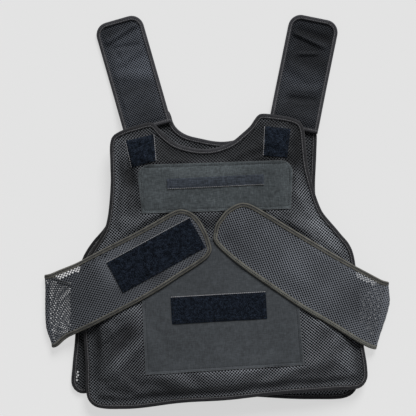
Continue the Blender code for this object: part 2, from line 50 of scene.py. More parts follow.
GAP = 0.3
WALL = 1.1  # binding tape
PANEL_LIP = 7.0  # width of a panel's binding
BAND_LIP = 6.0  # width of a strap's or a flap's binding
PANEL_RIM = 4.0  # thickness of a panel inside its binding
BAND_CLOTH = 2.6
PATCH_CLOTH = 1.6
PAD = 14.0  # thickness of a panel's middle
PAD_RAMP = 40.0  # width of the rise to it
RIM_RAMP = 5.0
FOLD_RAMP = 14.0
SIDE_LIFT = 11.3  # height of the front panel's underside at its sides
ARCH = 16.0  # how much higher it lies in the middle
ARCH_FLAT = 85.0  # half width of the level middle
HALF_WIDTH = 209.0

NECK = (  # x, y: half the neck and the shoulder, the same on both panels
    (0, 161), (22, 164), (48, 174), (65, 189), (74, 201), (81, 207), (108, 203.5), (130, 197.5),
    (141, 191), (145.5, 180), (146.5, 150),
)
FRONT_HALF = NECK + (
    (147.5, 124), (153.5, 89), (159, 67), (164, 53.5), (172, 41.5), (181, 29.5), (190, 17),
    (199.5, 4), (206, -14), (209, -150), (211, -185), (208.5, -201), (200, -210.5), (187, -214),
    (156, -214.5), (95, -214), (0, -215.5),
)
BACK_HALF = NECK + (
    (146.5, 93), (150, 68), (158, 46), (172, 22), (185, 6), (195, -9), (202, -24), (206, -45),
    (209, -150), (211, -185), (210.5, -203), (207, -213), (199, -219), (187, -221.5),
    (156, -222), (95, -222), (0, -222.5),
)
CHEST_PANEL = {"place": (-1.4, 37.6, 1.9), "top": 235, "bottom": 223, "height": 73, "corner": 20}
CHEST_STRIP = {"place": (-1.8, 45.4, 2.8), "top": 144.5, "bottom": 144.5, "height": 15, "corner": 0}
POCKET_PANEL = {"place": (6.0, -137.4, 3.6), "top": 231, "bottom": 237, "height": 197, "corner": 0}
POCKET_STRIP = {"place": (3.4, -143.1, 3.3), "top": 142, "bottom": 142, "height": 40, "corner": 0}
SHOULDER_PADS = {  # four corners, x and y
    "right": ((-136.4, 106.5), (-127.2, 66.6), (-90.5, 76.8), (-94.2, 116.1)),
    "left": ((72.0, 128.4), (69.6, 84.5), (105.5, 81.6), (110.7, 124.7)),
}
STRAP_WIDTH = 73.5
STRAP_LENGTH = 172.0
STRAP_CORNER = 19.0
STRAP_WIDER = {"right": 0.0, "left": 2.2}  # how much further out the wearer's left side lies
STRAP_CROWN = 1.0
STRAP_RAMP = 7.0
STRAP_PLACES = {"right": (-103.4, 125.7, 16.0), "left": (114.2, 125.5, -11.5)}  # x, y, turn
STRAP_LEVELS = {  # distance from the sewn end, height of the cloth's middle
    "right": ((0, 11.6), (27, 9.9), (42, 6.9), (62, 3.6), (80, 2.7), (150, 2.7), (161, 3.4), (172, 6.0)),
    "left": ((0, 10.0), (21, 9.9), (36, 6.9), (56, 3.6), (75, 2.7), (148, 2.7), (158, 3.6), (172, 6.8)),
}
STRAP_FOLDS = {  # across, along, heading, half length, half width, height
    "right": (
        (-1, 149, 17, 32, 3.2, 3.2), (3, 129, -8, 20, 3, -1.5), (-14, 121, 100, 9, 3, -1.2),
        (4, 113, 20, 22, 5, 1.8), (-4, 84, -15, 25, 7, 1.6), (-10, 50, 20, 24, 7, 1.8),
    ),
    "left": (
        (-4, 137.5, -14, 26, 3, 4.0), (0, 147, -10, 26, 4, -1.2), (0.5, 116, 12, 14, 2.5, 2.4),
        (-6, 88, -20, 24, 7, 1.8), (8, 46.5, 6, 24, 4, -2.0), (5, 60, 10, 24, 6, 1.8),
    ),
}
# Painted light and shade on the straps' net, on the lit and shaded sides of their folds; the right strap
# is also lighter all over than the left
STRAP_SHADES = {  # tone all over, then across, along, heading, half length, half width, change
    "right": (
        1.5, (2, 161, 0, 46, 10, -0.55), (10, 142, 16, 26, 5, 0.3), (-18, 148, 60, 14, 8, -0.25),
        (4, 98, -5, 34, 14, 0.75), (22, 82, 0, 20, 12, 0.3), (0, 62, 0, 30, 9, -0.5),
        (-4, 34, 0, 26, 16, -0.3),
    ),
    "left": (
        0.8, (0, 150, 0, 45, 16, -0.33), (8, 144, 0, 36, 6, -0.25), (0, 121, 0, 20, 9, -0.3),
        (0, 105, 0, 44, 8, -0.3), (0, 76, 0, 44, 9, 0.5), (-10, 62, 0, 30, 8, 0.25),
        (14, 44, 0, 20, 9, -0.25), (-24, 44, 90, 14, 6, 0.3),
    ),
}
STRAP_HOOK = {"width": 50, "height": 38, "along": {"right": 128, "left": 124}}
HOOK_MARGIN = 3  # the pits end this far under the hook tape's edge

FLAP_ROOTS = {"right": (-111, -181.5), "left": (-120, -180)}  # y of the upper and the lower edge
FLAP_UNDER = {  # upper x, upper y, lower x, lower y, bulge
    "right": ((-231.9, -104.3, -227.4, -189.8, 3), (-253.7, -94.2, -242.0, -204.5, 6)),
    "left": ((228.6, -114.0, 218.1, -190.5, 3), (252.6, -104.1, 233.0, -206.5, 7)),
}
FLAP_OVER = {  # upper x, upper y, lower x, lower y, bulge
    "right": (
        (-234.9, -86.4, -225.9, -190.2, 3), (-215.1, -78.6, -206.4, -180.9, 1),
        (-192.2, -67.2, -181.7, -168.9, 0), (-169.2, -54.8, -149.4, -152.0, 0),
        (-141.9, -41.0, -114.9, -133.5, 0), (-114.9, -27.0, -83.4, -114.9, 0),
        (-89.4, -12.6, -51.9, -94.2, 0), (-68.4, -0.5, -30.9, -81.0, 0),
        (-51.9, 4.8, -14.2, -69.0, 0), (-35.2, -0.8, -8.3, -60.6, 0),
        (-22.5, -15.0, -6.8, -54.0, -1.6),
    ),
    "left": (
        (231.6, -93.3, 210.6, -194.4, 3), (206.4, -80.0, 186.6, -179.3, 1),
        (182.1, -66.0, 159.6, -162.8, 0), (158.1, -51.9, 134.1, -148.2, 0),
        (133.1, -37.1, 110.1, -132.9, 0), (108.6, -22.2, 86.1, -116.3, 0),
        (86.1, -8.4, 62.1, -99.8, 0), (68.1, 2.4, 39.6, -83.7, 0),
        (53.9, 10.4, 18.6, -66.9, 0), (39.6, 14.7, 5.1, -54.9, 0),
        (27.5, 11.4, -3.0, -45.2, 0), (12.0, 1.5, -6.0, -38.5, -4.5),
    ),
}
FLAP_BULGE_AT = {"right": 0.7, "left": 0.33}  # share of the width, from the upper edge
FLAP_TIP_BULGE_AT = 0.5
FLAP_SEAM = 0.5
FOLD_RADIUS = 4.5
FOLD_SLACK = {"right": 1.5, "left": 3.6}
FOLD_STEPS = 6
FLAP_BRIDGE = 30.0
FLAP_DROOP = 58.0
FLAP_STEP = 4.0  # spacing of a flap's rows
FLAP_COLUMNS = 33  # points in each of them
FLAP_HOLE = 0.32
HOLE_SWELL = 0.03
UNDER_HOLE = 0.1  # the lower layer's holes are this much smaller
PATCH_HOLE = (0.2, 26)  # how much smaller they are round the loop patch, and how far from it
FLAP_NET_HALF = 0.6  # half the thickness of its net
FLAP_LINED = {"right": 165, "left": 125}  # the net has a backing nearer to the middle than this
FLAP_LOOP_PATCH = ((-164.0, -75.5), (-139.7, -120.6), (-16.5, -52.4), (-40.8, -8.4))
FLAP_HOOK_PATCH = ((18.0, -18.0), (42.3, -58.0), (146.0, -118.0), (127.0, -56.0))

FRONT_PLACE = (-0.3, -66.0, 4.45)  # x, y, turn
BACK_PLACE = (-0.5, -54.5, -2.0)  # x, y, turn
FRONT_PUSHES = (  # x, y, radius, distance: how far the soft edge lies off its cut
    (-158, 50, 45, 2.0), (38, 114, 16, 2.5), (222, -225, 50, 2.2), (216, -257, 17, 3.0),
    (-120, -290, 55, 4.5), (10, -281, 45, 1.3),
)
BACK_PUSHES = (
    (-54, 122, 26, -6.0), (-63, 133, 16, -3.0), (-206, -268, 18, 7.0), (202, -261, 16, 10.0),
    (115, -284, 55, 2.2),
)
EDGE_STEP = 4.0  # spacing of the points along an edge

# How firmly a cloth or a flap holds the front cover, and the width of the change
HELD_BY_CLOTH = 0.65
HELD_BY_FLAP = 0.85
HELD_RAMP = 12.0

FRONT_FOLDS = (  # dents and ridges: x, y, heading, half length, half width, height
    (-123, 33, 100, 38, 6, -4.0), (-179, -195, 92, 26, 4, -3.0), (-137, -221, 47, 34, 7, 4.5),
    (-152, -190, 42, 24, 5, -3.0), (-60, -255, -20, 30, 9, 3.0), (12, -255, 2, 40, 14, 2.5),
    (90, -252, 25, 26, 8, 3.0), (170, -20, -60, 40, 14, 3.5), (165, -215, 60, 34, 10, 3.5),
    (150, -240, 10, 30, 8, -2.5), (-150, 0, 70, 36, 8, 3.5), (-60, 100, -30, 30, 7, 3.0),
    (50, 95, 20, 30, 7, 3.0),
)
FRONT_LEANS = (  # x, y, radius, lean: which threads the light picks out
    (-140, -205, 60, 0.8), (175, -215, 70, -0.9), (136, 40, 45, 0.7), (-10, 85, 60, -0.5),
)
LEAN_SWELL = (0.6, 45)  # a slow random change of the leans: amount and length
DARKEST = 0.2  # the front net's least shade
CLOTH_MARGIN = (8, 6)  # the net's holes end this far under a cloth's sides and ends
# Painted shade along the dents and under the right shoulder pad, painted light along the ridges, and
# broader lighter and darker patches on the front net
FRONT_SHADES = (  # x, y, heading, half length, half width, change of tone
    (0, 92, 0, 115, 34, -0.85), (-126, 30, 100, 40, 9, -0.5), (-137, 56, 130, 20, 12, -0.35),
    (-152, 15, 95, 45, 13, 0.15), (-128, -28, 20, 30, 16, 0.2), (-150, -215, 45, 75, 70, -0.38),
    (-137, -218, 47, 34, 9, 0.4), (-140, -188, 45, 24, 9, -0.3), (-179, -194, 92, 26, 6, -0.35),
    (185, -215, 90, 60, 50, -0.12), (216, -226, 95, 40, 10, -0.5), (142, 45, 93, 35, 8, -0.35),
    (132, 5, 95, 30, 14, 0.15), (120, 100, 85, 32, 12, -0.5), (96, 133, 0, 34, 8, -0.5),
    (-116, 117, 8, 28, 8, -0.25), (59, 108, 80, 20, 12, -0.25), (166, -28, -45, 26, 14, 0.4),
    (124, 40, 100, 18, 7, 0.3), (110, 30, 95, 26, 9, -0.25), (142, 20, 108, 20, 6, 0.25),
    (20, -258, 3, 130, 12, -0.35), (0, -10, 0, 20, 14, -0.4), (125, 10, 95, 60, 30, -0.3),
)
BACK_SEEN = 34  # the back panel's upper side has holes this far in from its edge
BACK_UNDER = 12  # but none further in under the front panel than this
BACK_LIGHT = {"middle": (-210, -248), "half": 9, "depths": (6, 10)}  # light comes through here
# The back net is darker all over. BACK_SHADES darken it at the neck, at the right lower corner and in the
# left armhole's strip, and lighten the strip beside the front panel's lower edge on the wearer's left:
# painted light where the front panel's shadow falls
BACK_TONE = 0.7
BACK_SHADES = (
    (-45, 108, -30, 45, 14, -0.33), (-206, -235, 90, 60, 10, -0.4), (157, -272, 0, 50, 9, 0.9),
    (138, 94, 92, 36, 8, -0.28),
)
# x, y, heading, half length, half width, change of tone of the panels' bindings: lighter at the neck and
# on the shoulders, and painted shade at the lower end of the right armhole, where the binding turns away
# from the light
TAPE_SHADES = (
    (0, 98, 0, 75, 16, 0.7), (-50, 119, -35, 30, 9, 0.6), (-110, 117, 12, 32, 8, 0.25),
    (96, 138, -3, 32, 8, 0.3), (-187, -54, 60, 34, 10, -0.6),
)
FLAP_LEANS = {
    "right": ((-160, -80, 90, 0.5),),
    "left": ((60, -30, 70, 0.6), (160, -90, 80, 0.6)),
}
FLAP_OPENING = {"right": 0.38, "left": 0.27}  # size of the holes that light comes through
OPEN_EDGE = 13  # it comes through along the upper edge too, this wide
FLAP_SHADES = {
    "right": (
        (-190, -110, 25, 90, 60, -0.22), (-62, -55, 29, 48, 45, -0.58), (-118, -108, 29, 42, 14, -0.38),
    ),
    "left": (
        (50, -30, -30, 80, 40, -0.08), (35, -52, -42, 34, 14, -0.3), (190, -110, -30, 60, 40, -0.12),
        (150, -110, -30, 60, 9, 0.1), (222, -150, -60, 40, 26, -0.28), (90, -95, -34, 40, 12, -0.12),
    ),
}

PANEL_HALF = PANEL_RIM / 2 + GAP + WALL  # half height of a panel's binding
BAND_HALF = BAND_CLOTH / 2 + GAP + WALL
LIP_END = PANEL_LIP + 2.5
BAND_FLOOR = BAND_HALF + 0.2
FOLD_TOP = BAND_FLOOR + 2 * FOLD_RADIUS
FLAP_HALF = 2.0  # half height of a flap's binding, which is pressed flatter than a strap's
FLAP_RIDE = GAP + PATCH_CLOTH + GAP + FLAP_HALF + 0.3

# A net's pitch, the headings of its threads, its distance from the outline and its holes' size
FRONT_WEAVE = (3.35, 50, 142, 1.4, 0.38)
BACK_WEAVE = (3.5, 50, 142, 1.4, 0.36)
STRAP_WEAVES = {"right": (3.1, 44, 134, 1.2, 0.34), "left": (3.1, 40.5, 133.5, 1.2, 0.34)}
FLAP_WEAVES = {"right": (3.5, 64, 168, 1.5), "left": (3.4, 111, 13, 1.5)}
LOOSE_WEAVE = (7.0, 3, 93, LIP_END - 2)
SLUB_SIZE = (0.007, 0.0015, 0.0015)  # metres

# A binding's lip, its half height and the distance of its seam from its edge
PANEL_BINDING = (PANEL_LIP, PANEL_HALF, 5.4)
STRAP_BINDING = (BAND_LIP, BAND_HALF, 4.4)
FLAP_BINDING = (BAND_LIP, FLAP_HALF, 3.0)
TAPE_SIDES = 20
# A flap binding's sides along its edge and its fold get a lighter colour: a painted highlight
HIGHLIT_SIDES = (1, 6, 10, 15)  # the sides along a tape's edge and along its fold
PALE_FROM = 0.52  # the left flap's binding is pale from here on, as a share of its length
RIPPLE = 0.12  # height of a binding's puckers
SUNK = 0.1  # how far its stitches sink in

# Stitches: their pitch, and the length, width and height of one
SEAM_ROW = (2.7, (2.7, 1.1, 0.35))
DOTTED_ROW = (2.9, (2.1, 2.0, 0.35))
CLOTH_ROW = (2.9, (2.2, 0.9, 0.25))
# A light line along a cloth's turned edge, made like a row of stitches: a painted highlight
HIGHLIGHT_ROW = (2.4, (3.4, 1.0, 0.35))
PILE_ROW = (3.0, (2.6, 0.6, 0.35))
LIGHT_ROW = (3.0, (4.0, 1.7, 0.6))

CLOTH_LINES = (0, 0.4, 1.2, 2.6, 3.7, 4.5, 5.3, 7.0)  # distances of the points from a cloth's edge
CLOTH_STEP = 3.0
CLOTH_SEAM = 4.5
CLOTH_TOP = 1.7  # height over the cover
CLOTH_BOTTOM = 0.3
PILE_LINES = (0, 0.4, 1.3)
PILE_STEP = 1.5
PILE_SEAM = 2.2
# Where a tape's sewn side and its fuzzy face lie: the first along the normal, the second away from
# the cloth
STRIP_HEIGHTS = (1.75, 3.5)
SHOULDER_PAD_HEIGHTS = (0.2, 1.9)
STRAP_HOOK_HEIGHTS = (-0.15, 1.9)
FLAP_LOOP_HEIGHTS = (0.7, 2.6)
FLAP_HOOK_HEIGHTS = (-0.8, 2.6)
UP = np.array([[0.0, 0.0, 1.0]])  # the normals of a level row

LOOSE_SPARE = 0.018  # how much too large the front cover is
LOOSE_STEPS = 26  # how long it settles
LOOSE_GAP = 0.0005  # metres between it and the pad
CLOTH_SETTINGS = {
    "quality": 6, "mass": 0.15, "tension_stiffness": 15, "compression_stiffness": 15,
    "shear_stiffness": 8, "bending_stiffness": 8,
}
WRINKLE_TOP = 9.0  # the wrinkles come near this height, and no higher
WRINKLE_SOFT = 5.0

# In metres, and in degrees for the sun's width
FLOOR_HALF = 20
FLOOR_Z = -0.0006
FLOOR_GLOW = 0.594
SKY = 0.22
SUN = 3.2
SUN_WIDTH = 28
SUN_FROM = (0.3, 1.0, 0.82)
CAMERA = (-0.01232, 0.00415, 3.0)
VEST_MIDDLE = 0.03
PICTURE_WIDTH = 0.624


# Numbers


def smoothstep(t):
    t = np.clip(t, 0.0, 1.0)
    return t * t * (3.0 - 2.0 * t)


def unit(vectors):
    return vectors / np.maximum(np.linalg.norm(vectors, axis=-1, keepdims=True), 1e-9)


def bell(distance, width):
    return np.exp(-((distance / width) ** 2))


def spots(xy, table):
    """The sum of soft round spots, each with its x, y, radius and amount."""
    total = np.zeros(xy.shape[:-1])
    for x, y, radius, amount in table:
        total += amount * bell(np.linalg.norm(xy - (x, y), axis=-1), radius)
    return total


def waves(xy, length, seed):
    """A smooth random swell from -1 to 1, with waves about a length long."""
    rng = np.random.default_rng(seed)
    out = np.zeros(xy.shape[:-1])
    for _ in range(7):
        angle, phase = rng.uniform(0, math.pi), rng.uniform(0, 2 * math.pi)
        k = 2 * math.pi / (length * rng.uniform(0.6, 1.7))
        out += np.sin(k * (xy[..., 0] * math.cos(angle) + xy[..., 1] * math.sin(angle)) + phase)
    return out / 4


def raised(xy, z):
    """Flat points at the given heights."""
    return np.concatenate([xy, np.broadcast_to(z, xy.shape[:-1])[..., None]], -1)


def spun(xy, degrees):
    """Flat points or directions, turned about the origin."""
    c, s = math.cos(math.radians(degrees)), math.sin(math.radians(degrees))
    return np.stack([xy[..., 0] * c - xy[..., 1] * s, xy[..., 0] * s + xy[..., 1] * c], -1)


def turned(points, place):
    """Points of a piece's own frame, in the vest's frame."""
    return spun(np.asarray(points, float), place[2]) + place[:2]


def own(xy, place):
    """Points of the vest's frame, in a piece's own frame."""
    return spun(xy - place[:2], -place[2])


def grid_quads(index):
    """The quads between the rows and columns of a grid of point numbers."""
    corners = index[:-1, :-1], index[:-1, 1:], index[1:, 1:], index[1:, :-1]
    return np.stack(corners, -1).reshape(-1, 4)


def grid_loop(rows, k=0):
    """The loop that lies k lines inside the edge of a grid."""
    inner = rows[k : rows.shape[0] - k, k : rows.shape[1] - k]
    return np.concatenate([inner[0, :-1], inner[:-1, -1], inner[-1, :0:-1], inner[:0:-1, 0]])


def smooth_path(points, step, closed=False):
    """Points, or rows of points, a step apart on a smooth curve through the given ones."""
    if closed:
        ring = np.concatenate([points[-1:], points, points[:2]])
    else:
        ring = np.concatenate([2 * points[:1] - points[1:2], points, 2 * points[-1:] - points[-2:-1]])
    out = []
    for four in zip(ring, ring[1:], ring[2:], ring[3:]):
        gaps = [math.sqrt(np.linalg.norm(b - a, axis=-1).mean()) for a, b in zip(four, four[1:])]
        t1, t2, t3 = np.cumsum(gaps)
        t = np.linspace(t1, t2, max(1, round(gaps[1] ** 2 / step)), endpoint=False)
        t = t.reshape(-1, *[1] * (ring.ndim - 1))
        p0, p1, p2, p3 = four
        a1 = p0 + (p1 - p0) * t / t1
        a2 = p1 + (p2 - p1) * (t - t1) / (t2 - t1)
        a3 = p2 + (p3 - p2) * (t - t2) / (t3 - t2)
        b1 = a1 + (a2 - a1) * t / t2
        b2 = a2 + (a3 - a2) * (t - t1) / (t3 - t1)
        out.append(b1 + (b2 - b1) * (t - t1) / (t2 - t1))
    return np.concatenate(out if closed else [*out, points[-1:]])


class Outline:
    """A closed loop of points, anticlockwise."""

    def __init__(self, points):
        points = np.asarray(points, float)
        after = np.roll(points, -1, axis=0)
        area = (points[:, 0] * after[:, 1] - after[:, 0] * points[:, 1]).sum() / 2
        self.points = points if area > 0 else points[::-1].copy()
        self.area = abs(area)

    def outward(self):
        first = unit(self.points - np.roll(self.points, 1, axis=0))
        middle = unit(first + np.roll(first, -1, axis=0))
        return np.stack([middle[:, 1], -middle[:, 0]], -1)

    def depth(self, xy):
        """The distance to the loop, above zero inside it."""
        start = np.roll(self.points, 1, axis=0)
        edge = self.points - start
        length = np.maximum((edge * edge).sum(1), 1e-9)
        rise = np.where(edge[:, 1] == 0, 1, edge[:, 1])
        flat = xy.reshape(-1, 2)
        out = np.empty(len(flat))
        for k in range(0, len(flat), 4000):
            d = flat[k : k + 4000, None] - start
            share = np.clip((d * edge).sum(2) / length, 0, 1)
            near = np.linalg.norm(d - share[..., None] * edge, axis=2).min(1)
            y = flat[k : k + 4000, None, 1]
            spans = (start[:, 1] > y) != (self.points[:, 1] > y)
            left = d[..., 0] < d[..., 1] / rise * edge[:, 0]
            inside = (spans & left).sum(1) % 2 == 1
            out[k : k + 4000] = np.where(inside, near, -near)
        return out.reshape(xy.shape[:-1])


def panel_outline(half, place, pushes):
    """The outline of a panel from its half, pushed out or in at some spots."""
    other = [(-x, y) for x, y in half[-2:0:-1]]
    outline = Outline(smooth_path(turned([*half, *other], place), EDGE_STEP, closed=True))
    return Outline(outline.points + outline.outward() * spots(outline.points, pushes)[:, None])


def fold_height(xy, folds):
    """The rise or fall that a table of folds gives at each point."""
    height = np.zeros(xy.shape[:-1])
    for x, y, heading, half_length, half_width, rise in folds:
        o = own(xy, (x, y, heading))
        ends = smoothstep(1.5 - np.abs(o[..., 0]) / half_length)
        height += rise * ends * smoothstep(1 - np.abs(o[..., 1]) / (half_width * 2))
    return height


def pad_swell(depth):
    """The height of a pad's upper face, by the distance from the panel's edge."""
    rim_top = PANEL_HALF + PANEL_RIM / 2
    return rim_top + (PAD - rim_top) * smoothstep((depth - LIP_END) / PAD_RAMP)


def rim_raise(depth):
    """How far a panel's underside rises at the rim, to fit into its binding."""
    return (PANEL_HALF - PANEL_RIM / 2) * (1 - smoothstep((depth - LIP_END) / RIM_RAMP))


def front_base(xy):
    """The front panel's underside, arched over the hollow for the body."""
    across = np.abs(own(xy, FRONT_PLACE)[..., 0])
    share = np.maximum(0.0, across - ARCH_FLAT) / (HALF_WIDTH - ARCH_FLAT)
    return SIDE_LIFT + ARCH * (1 - share * share)


def front_top(xy):
    """The front panel's upper face: pad, folds, and the loose cover's wrinkles once they are known."""
    depth = front.depth(xy)
    rise = fold_height(xy, FRONT_FOLDS)
    if wrinkles is not None:
        rise = rise + wrinkles(xy) * free_to_wrinkle(xy)
    return front_base(xy) + pad_swell(depth) + rise * smoothstep((depth - LIP_END) / FOLD_RAMP)


def free_to_wrinkle(xy):
    """1 where the front cover is loose, less where a cloth is sewn on it or a flap lies on it."""
    held = np.zeros(xy.shape[:-1])
    for shape in (CHEST_PANEL, POCKET_PANEL):
        o = np.abs(own(xy, shape["place"]))
        inside = np.minimum(shape["bottom"] / 2 - o[..., 0], shape["height"] / 2 - o[..., 1])
        held = np.maximum(held, HELD_BY_CLOTH * smoothstep(inside / HELD_RAMP + 0.5))
    for rows in FLAP_OVER.values():
        rows = np.array(rows)
        under = Outline(np.concatenate([rows[:, :2], rows[::-1, 2:4]]))
        held = np.maximum(held, HELD_BY_FLAP * smoothstep(under.depth(xy) / HELD_RAMP + 0.8))
    return 1 - held


# Materials


class Nodes:
    """A short way to write a material's node tree."""

    def __init__(self, name, roughness, sheen=0.0, specular=0.2):
        self.material = bpy.data.materials.new(name)
        self.material.use_nodes = True
        self.tree = self.material.node_tree
        self.shader = self.tree.nodes["Principled BSDF"]
        self.shader.inputs["Roughness"].default_value = roughness
        self.shader.inputs["Specular IOR Level"].default_value = specular
        self.shader.inputs["Sheen Weight"].default_value = sheen
        self.place = self.add("ShaderNodeTexCoord").outputs["Object"]

    def add(self, kind, **settings):
        node = self.tree.nodes.new(kind)
        for key, value in settings.items():
            setattr(node, key, value)
        return node

    def put(self, node, **values):
        for key, value in values.items():
            socket = node.inputs[key.replace("_", " ")]
            if isinstance(value, bpy.types.NodeSocket):
                self.tree.links.new(value, socket)
            else:
                socket.default_value = value
        return node

    def mapped(self, heading, scale=(1, 1, 1)):
        """The place, along a heading, and in units of a scale."""
        turn = (0, 0, math.radians(heading))
        node = self.add("ShaderNodeMapping", vector_type="TEXTURE")
        return self.put(node, Vector=self.place, Rotation=turn, Scale=scale).outputs[0]

    def noise(self, scale, detail=2.0, place=None):
        node = self.add("ShaderNodeTexNoise")
        return self.put(node, Vector=place or self.place, Scale=scale, Detail=detail).outputs["Fac"]

    def wave(self, pitch, direction, place=None):
        """A sine ridge every pitch, in metres, across X or Y."""
        node = self.add("ShaderNodeTexWave", wave_type="BANDS", bands_direction=direction)
        self.put(node, Vector=place or self.place, Scale=0.314159 / pitch)
        return node.outputs["Fac"]

    def attribute(self, name):
        return self.add("ShaderNodeAttribute", attribute_name=name).outputs["Fac"]

    def ramp(self, fac, *stops):
        """Colours at positions: stops are (position, red, green, blue), in linear light."""
        node = self.put(self.add("ShaderNodeValToRGB"), Fac=fac)
        elements = node.color_ramp.elements
        while len(elements) < len(stops):
            elements.new(0.5)
        for element, (position, *colour) in zip(elements, stops):
            element.position = position
            element.color = (*colour, 1)
        return node.outputs["Color"]

    def tones(self, fac, *stops, colour=(1, 1, 1)):
        """Shares of one colour at positions: stops are (position, share)."""
        return self.ramp(fac, *((position, *(share * v for v in colour)) for position, share in stops))

    def mix(self, fac, first, second, blend="MIX"):
        node = self.add("ShaderNodeMixRGB", blend_type=blend)
        return self.put(node, Fac=fac, Color1=first, Color2=second).outputs["Color"]

    def product(self, colour, *others):
        for other in others:
            colour = self.mix(1.0, colour, other, "MULTIPLY")
        return colour

    def bump(self, height, distance, strength):
        node = self.put(self.add("ShaderNodeBump"), Height=height, Distance=distance, Strength=strength)
        self.put(self.shader, Normal=node.outputs[0])

    def coloured(self, colour):
        self.put(self.shader, Base_Color=colour)
        return self.material


def srgb(*values):
    """A picture's colour, 0 to 255, in linear light."""
    out = []
    for value in values:
        v = value / 255
        out.append(v / 12.92 if v <= 0.04045 else ((v + 0.055) / 1.055) ** 2.4)
    return tuple(out)


def net_material(name, thread, rim, hole, turn, blotch):
    """Net cloth over holes, with painted shade in them and on the threads' sides.

    turn is how much the threads of the lit heading stand out, and blotch how much the tone wanders.
    """
    n = Nodes(name, 0.6, specular=0.12)
    bright = n.tones(n.attribute("tone"), (0.0, 1 - turn), (1.0, 1 + turn))
    # Broad random patches of lighter and darker threads, partly painted light and shade
    painted_light = n.tones(n.noise(11, 4), (0.32, 1 - blotch), (0.68, 1 + blotch))
    # The colour darkens from the threads' middles down to the holes: painted shade on the threads' rounded
    # sides and in the pits
    stops = (0.26, *srgb(*hole)), (0.45, *srgb(*rim)), (0.8, *srgb(*thread))
    threads = n.ramp(n.attribute("rise"), *stops)
    n.bump(n.wave(0.0006, "DIAGONAL"), 0.00015, 0.6)
    return n.coloured(n.product(threads, bright, painted_light, n.attribute("shade")))


def woven_material(name, colour, pitch, heading, roughness, blotch=0.16, slub=0.0, shaded=False):
    """A plain weave of two crossing ribs, with rubbed and dusty patches.

    slub is how much single threads differ in tone. A shaded cloth is also lighter or darker by its
    faces' attribute shade, which holds the spots of TAPE_SHADES, painted shade among them.
    """
    n = Nodes(name, roughness, 0.1)
    ribs = n.mapped(-heading)
    weave = n.product(n.wave(pitch, "X", ribs), n.wave(pitch, "Y", ribs))
    n.bump(weave, 0.00025, 0.8)
    patches = n.mix(0.5, n.noise(9, 4), n.noise(120, 2))
    tone = n.tones(patches, (0.35, 1 - blotch), (0.65, 1 + blotch), colour=srgb(*colour))
    tone = n.product(tone, n.tones(weave, (0.0, 0.72), (0.6, 1.12)))
    if slub:
        for turn in (0, 90):
            thread = n.noise(1.0, 1.0, n.mapped(heading + turn, SLUB_SIZE))
            tone = n.product(tone, n.tones(thread, (0.3, 1 - slub), (0.7, 1 + slub)))
    if shaded:
        tone = n.product(tone, n.attribute("shade"))
    return n.coloured(tone)


def pile_material(name, colour):
    """A fuzzy looped face."""
    n = Nodes(name, 0.95, specular=0.05)
    fuzz = n.noise(700, 3)
    n.bump(fuzz, 0.0005, 1.0)
    tone = n.tones(fuzz, (0.4, 0.35), (0.62, 2.2), colour=srgb(*colour))
    return n.coloured(n.product(tone, n.tones(n.noise(200, 2), (0.35, 0.55), (0.65, 1.45))))


# Meshes


def new_piece(name, points, faces, materials, node, slot, values=None, picks=None):
    """A mesh from points in millimetres of the tables' frame and arrays of faces."""
    mesh = bpy.data.meshes.new(name)
    corners = [face for part in faces for face in part.tolist()]
    mesh.from_pydata(((points - MIDDLE) * MM).tolist(), [], corners)
    for key, (domain, data) in (values or {}).items():
        layer = mesh.attributes.new(key, "FLOAT", domain)
        layer.data.foreach_set("value", data.astype(np.float32))
    for material in materials:
        mesh.materials.append(material)
    if picks is not None:
        mesh.polygons.foreach_set("material_index", picks.astype(np.int32))
    mesh.validate()
    mesh.shade_smooth()
    mesh.set_sharp_from_angle(angle=math.radians(40))
    piece = bpy.data.objects.new(name, mesh)
    bpy.context.scene.collection.objects.link(piece)
    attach(piece, "root")
    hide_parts(node)
    return piece


HOLE_ANGLES = np.radians(np.arange(8) * 45 - 135)
HOLE_RIM = np.stack([np.cos(HOLE_ANGLES), np.sin(HOLE_ANGLES)], -1)
HOLE_RIM[::2] *= 1.08  # a hole's corners
RIM_RISE = 0.3
EVEN_TONE = 0.5


class Net:
    """A lattice of four-sided cells with holes, over the part of a flat outline that they fit."""

    def __init__(self, outline, pitch, first, second, keep, hole=0.31):
        """first and second are the headings of the threads, in degrees."""
        headings = np.radians([first, second])
        self.basis = pitch * np.stack([np.cos(headings), np.sin(headings)], 1)
        reach = outline.points @ np.linalg.inv(self.basis)
        low = np.floor(reach.min(0)).astype(int) - 1
        high = np.ceil(reach.max(0)).astype(int) + 1
        axes = [np.arange(a, b) for a, b in zip(low, high)]
        knots = np.stack(np.meshgrid(*axes, indexing="ij"), -1) @ self.basis
        inside = outline.depth(knots) > keep
        cells = inside[:-1, :-1] & inside[1:, :-1] & inside[1:, 1:] & inside[:-1, 1:]
        i, j = np.nonzero(cells)
        corners = np.array([i, i + 1, i + 1, i]), np.array([j, j, j + 1, j + 1])
        used = np.zeros(inside.shape, bool)
        used[corners] = True
        index = np.full(inside.shape, -1)
        index[used] = np.arange(used.sum())
        self.low, self.used = low, used
        self.knots = knots[used]
        self.quads = index[corners].T
        self.centres = self.knots[self.quads].mean(1)
        self.hole = hole
        self.other = (i + j) % 2 == 0  # every other cell
        self.none = np.zeros(len(i), bool)
        self.every = ~self.none
        self.lean = np.zeros(len(i))  # 1 where the light picks out the first threads, -1 the second
        # a share of the net's colour at each cell, for the lighter and darker spots of the tables of
        # shades, painted light and shade among them
        self.shade = np.ones(len(i))
        around = ((0, -1), (0, 1)), ((1, 0), (1, 2)), ((0, 1), (2, 3)), ((-1, 0), (3, 0))
        padded = np.pad(cells, 1)
        walls = []
        for (di, dj), side in around:
            walls.append(self.quads[~padded[i + 1 + di, j + 1 + dj]][:, side])
        self.walls = np.concatenate(walls)

    def rims(self, pick):
        """The points round the holes of the picked cells, cell by cell."""
        size = np.broadcast_to(self.hole, len(self.quads))[pick][:, None, None]
        return self.centres[pick][:, None] + size * HOLE_RIM @ self.basis


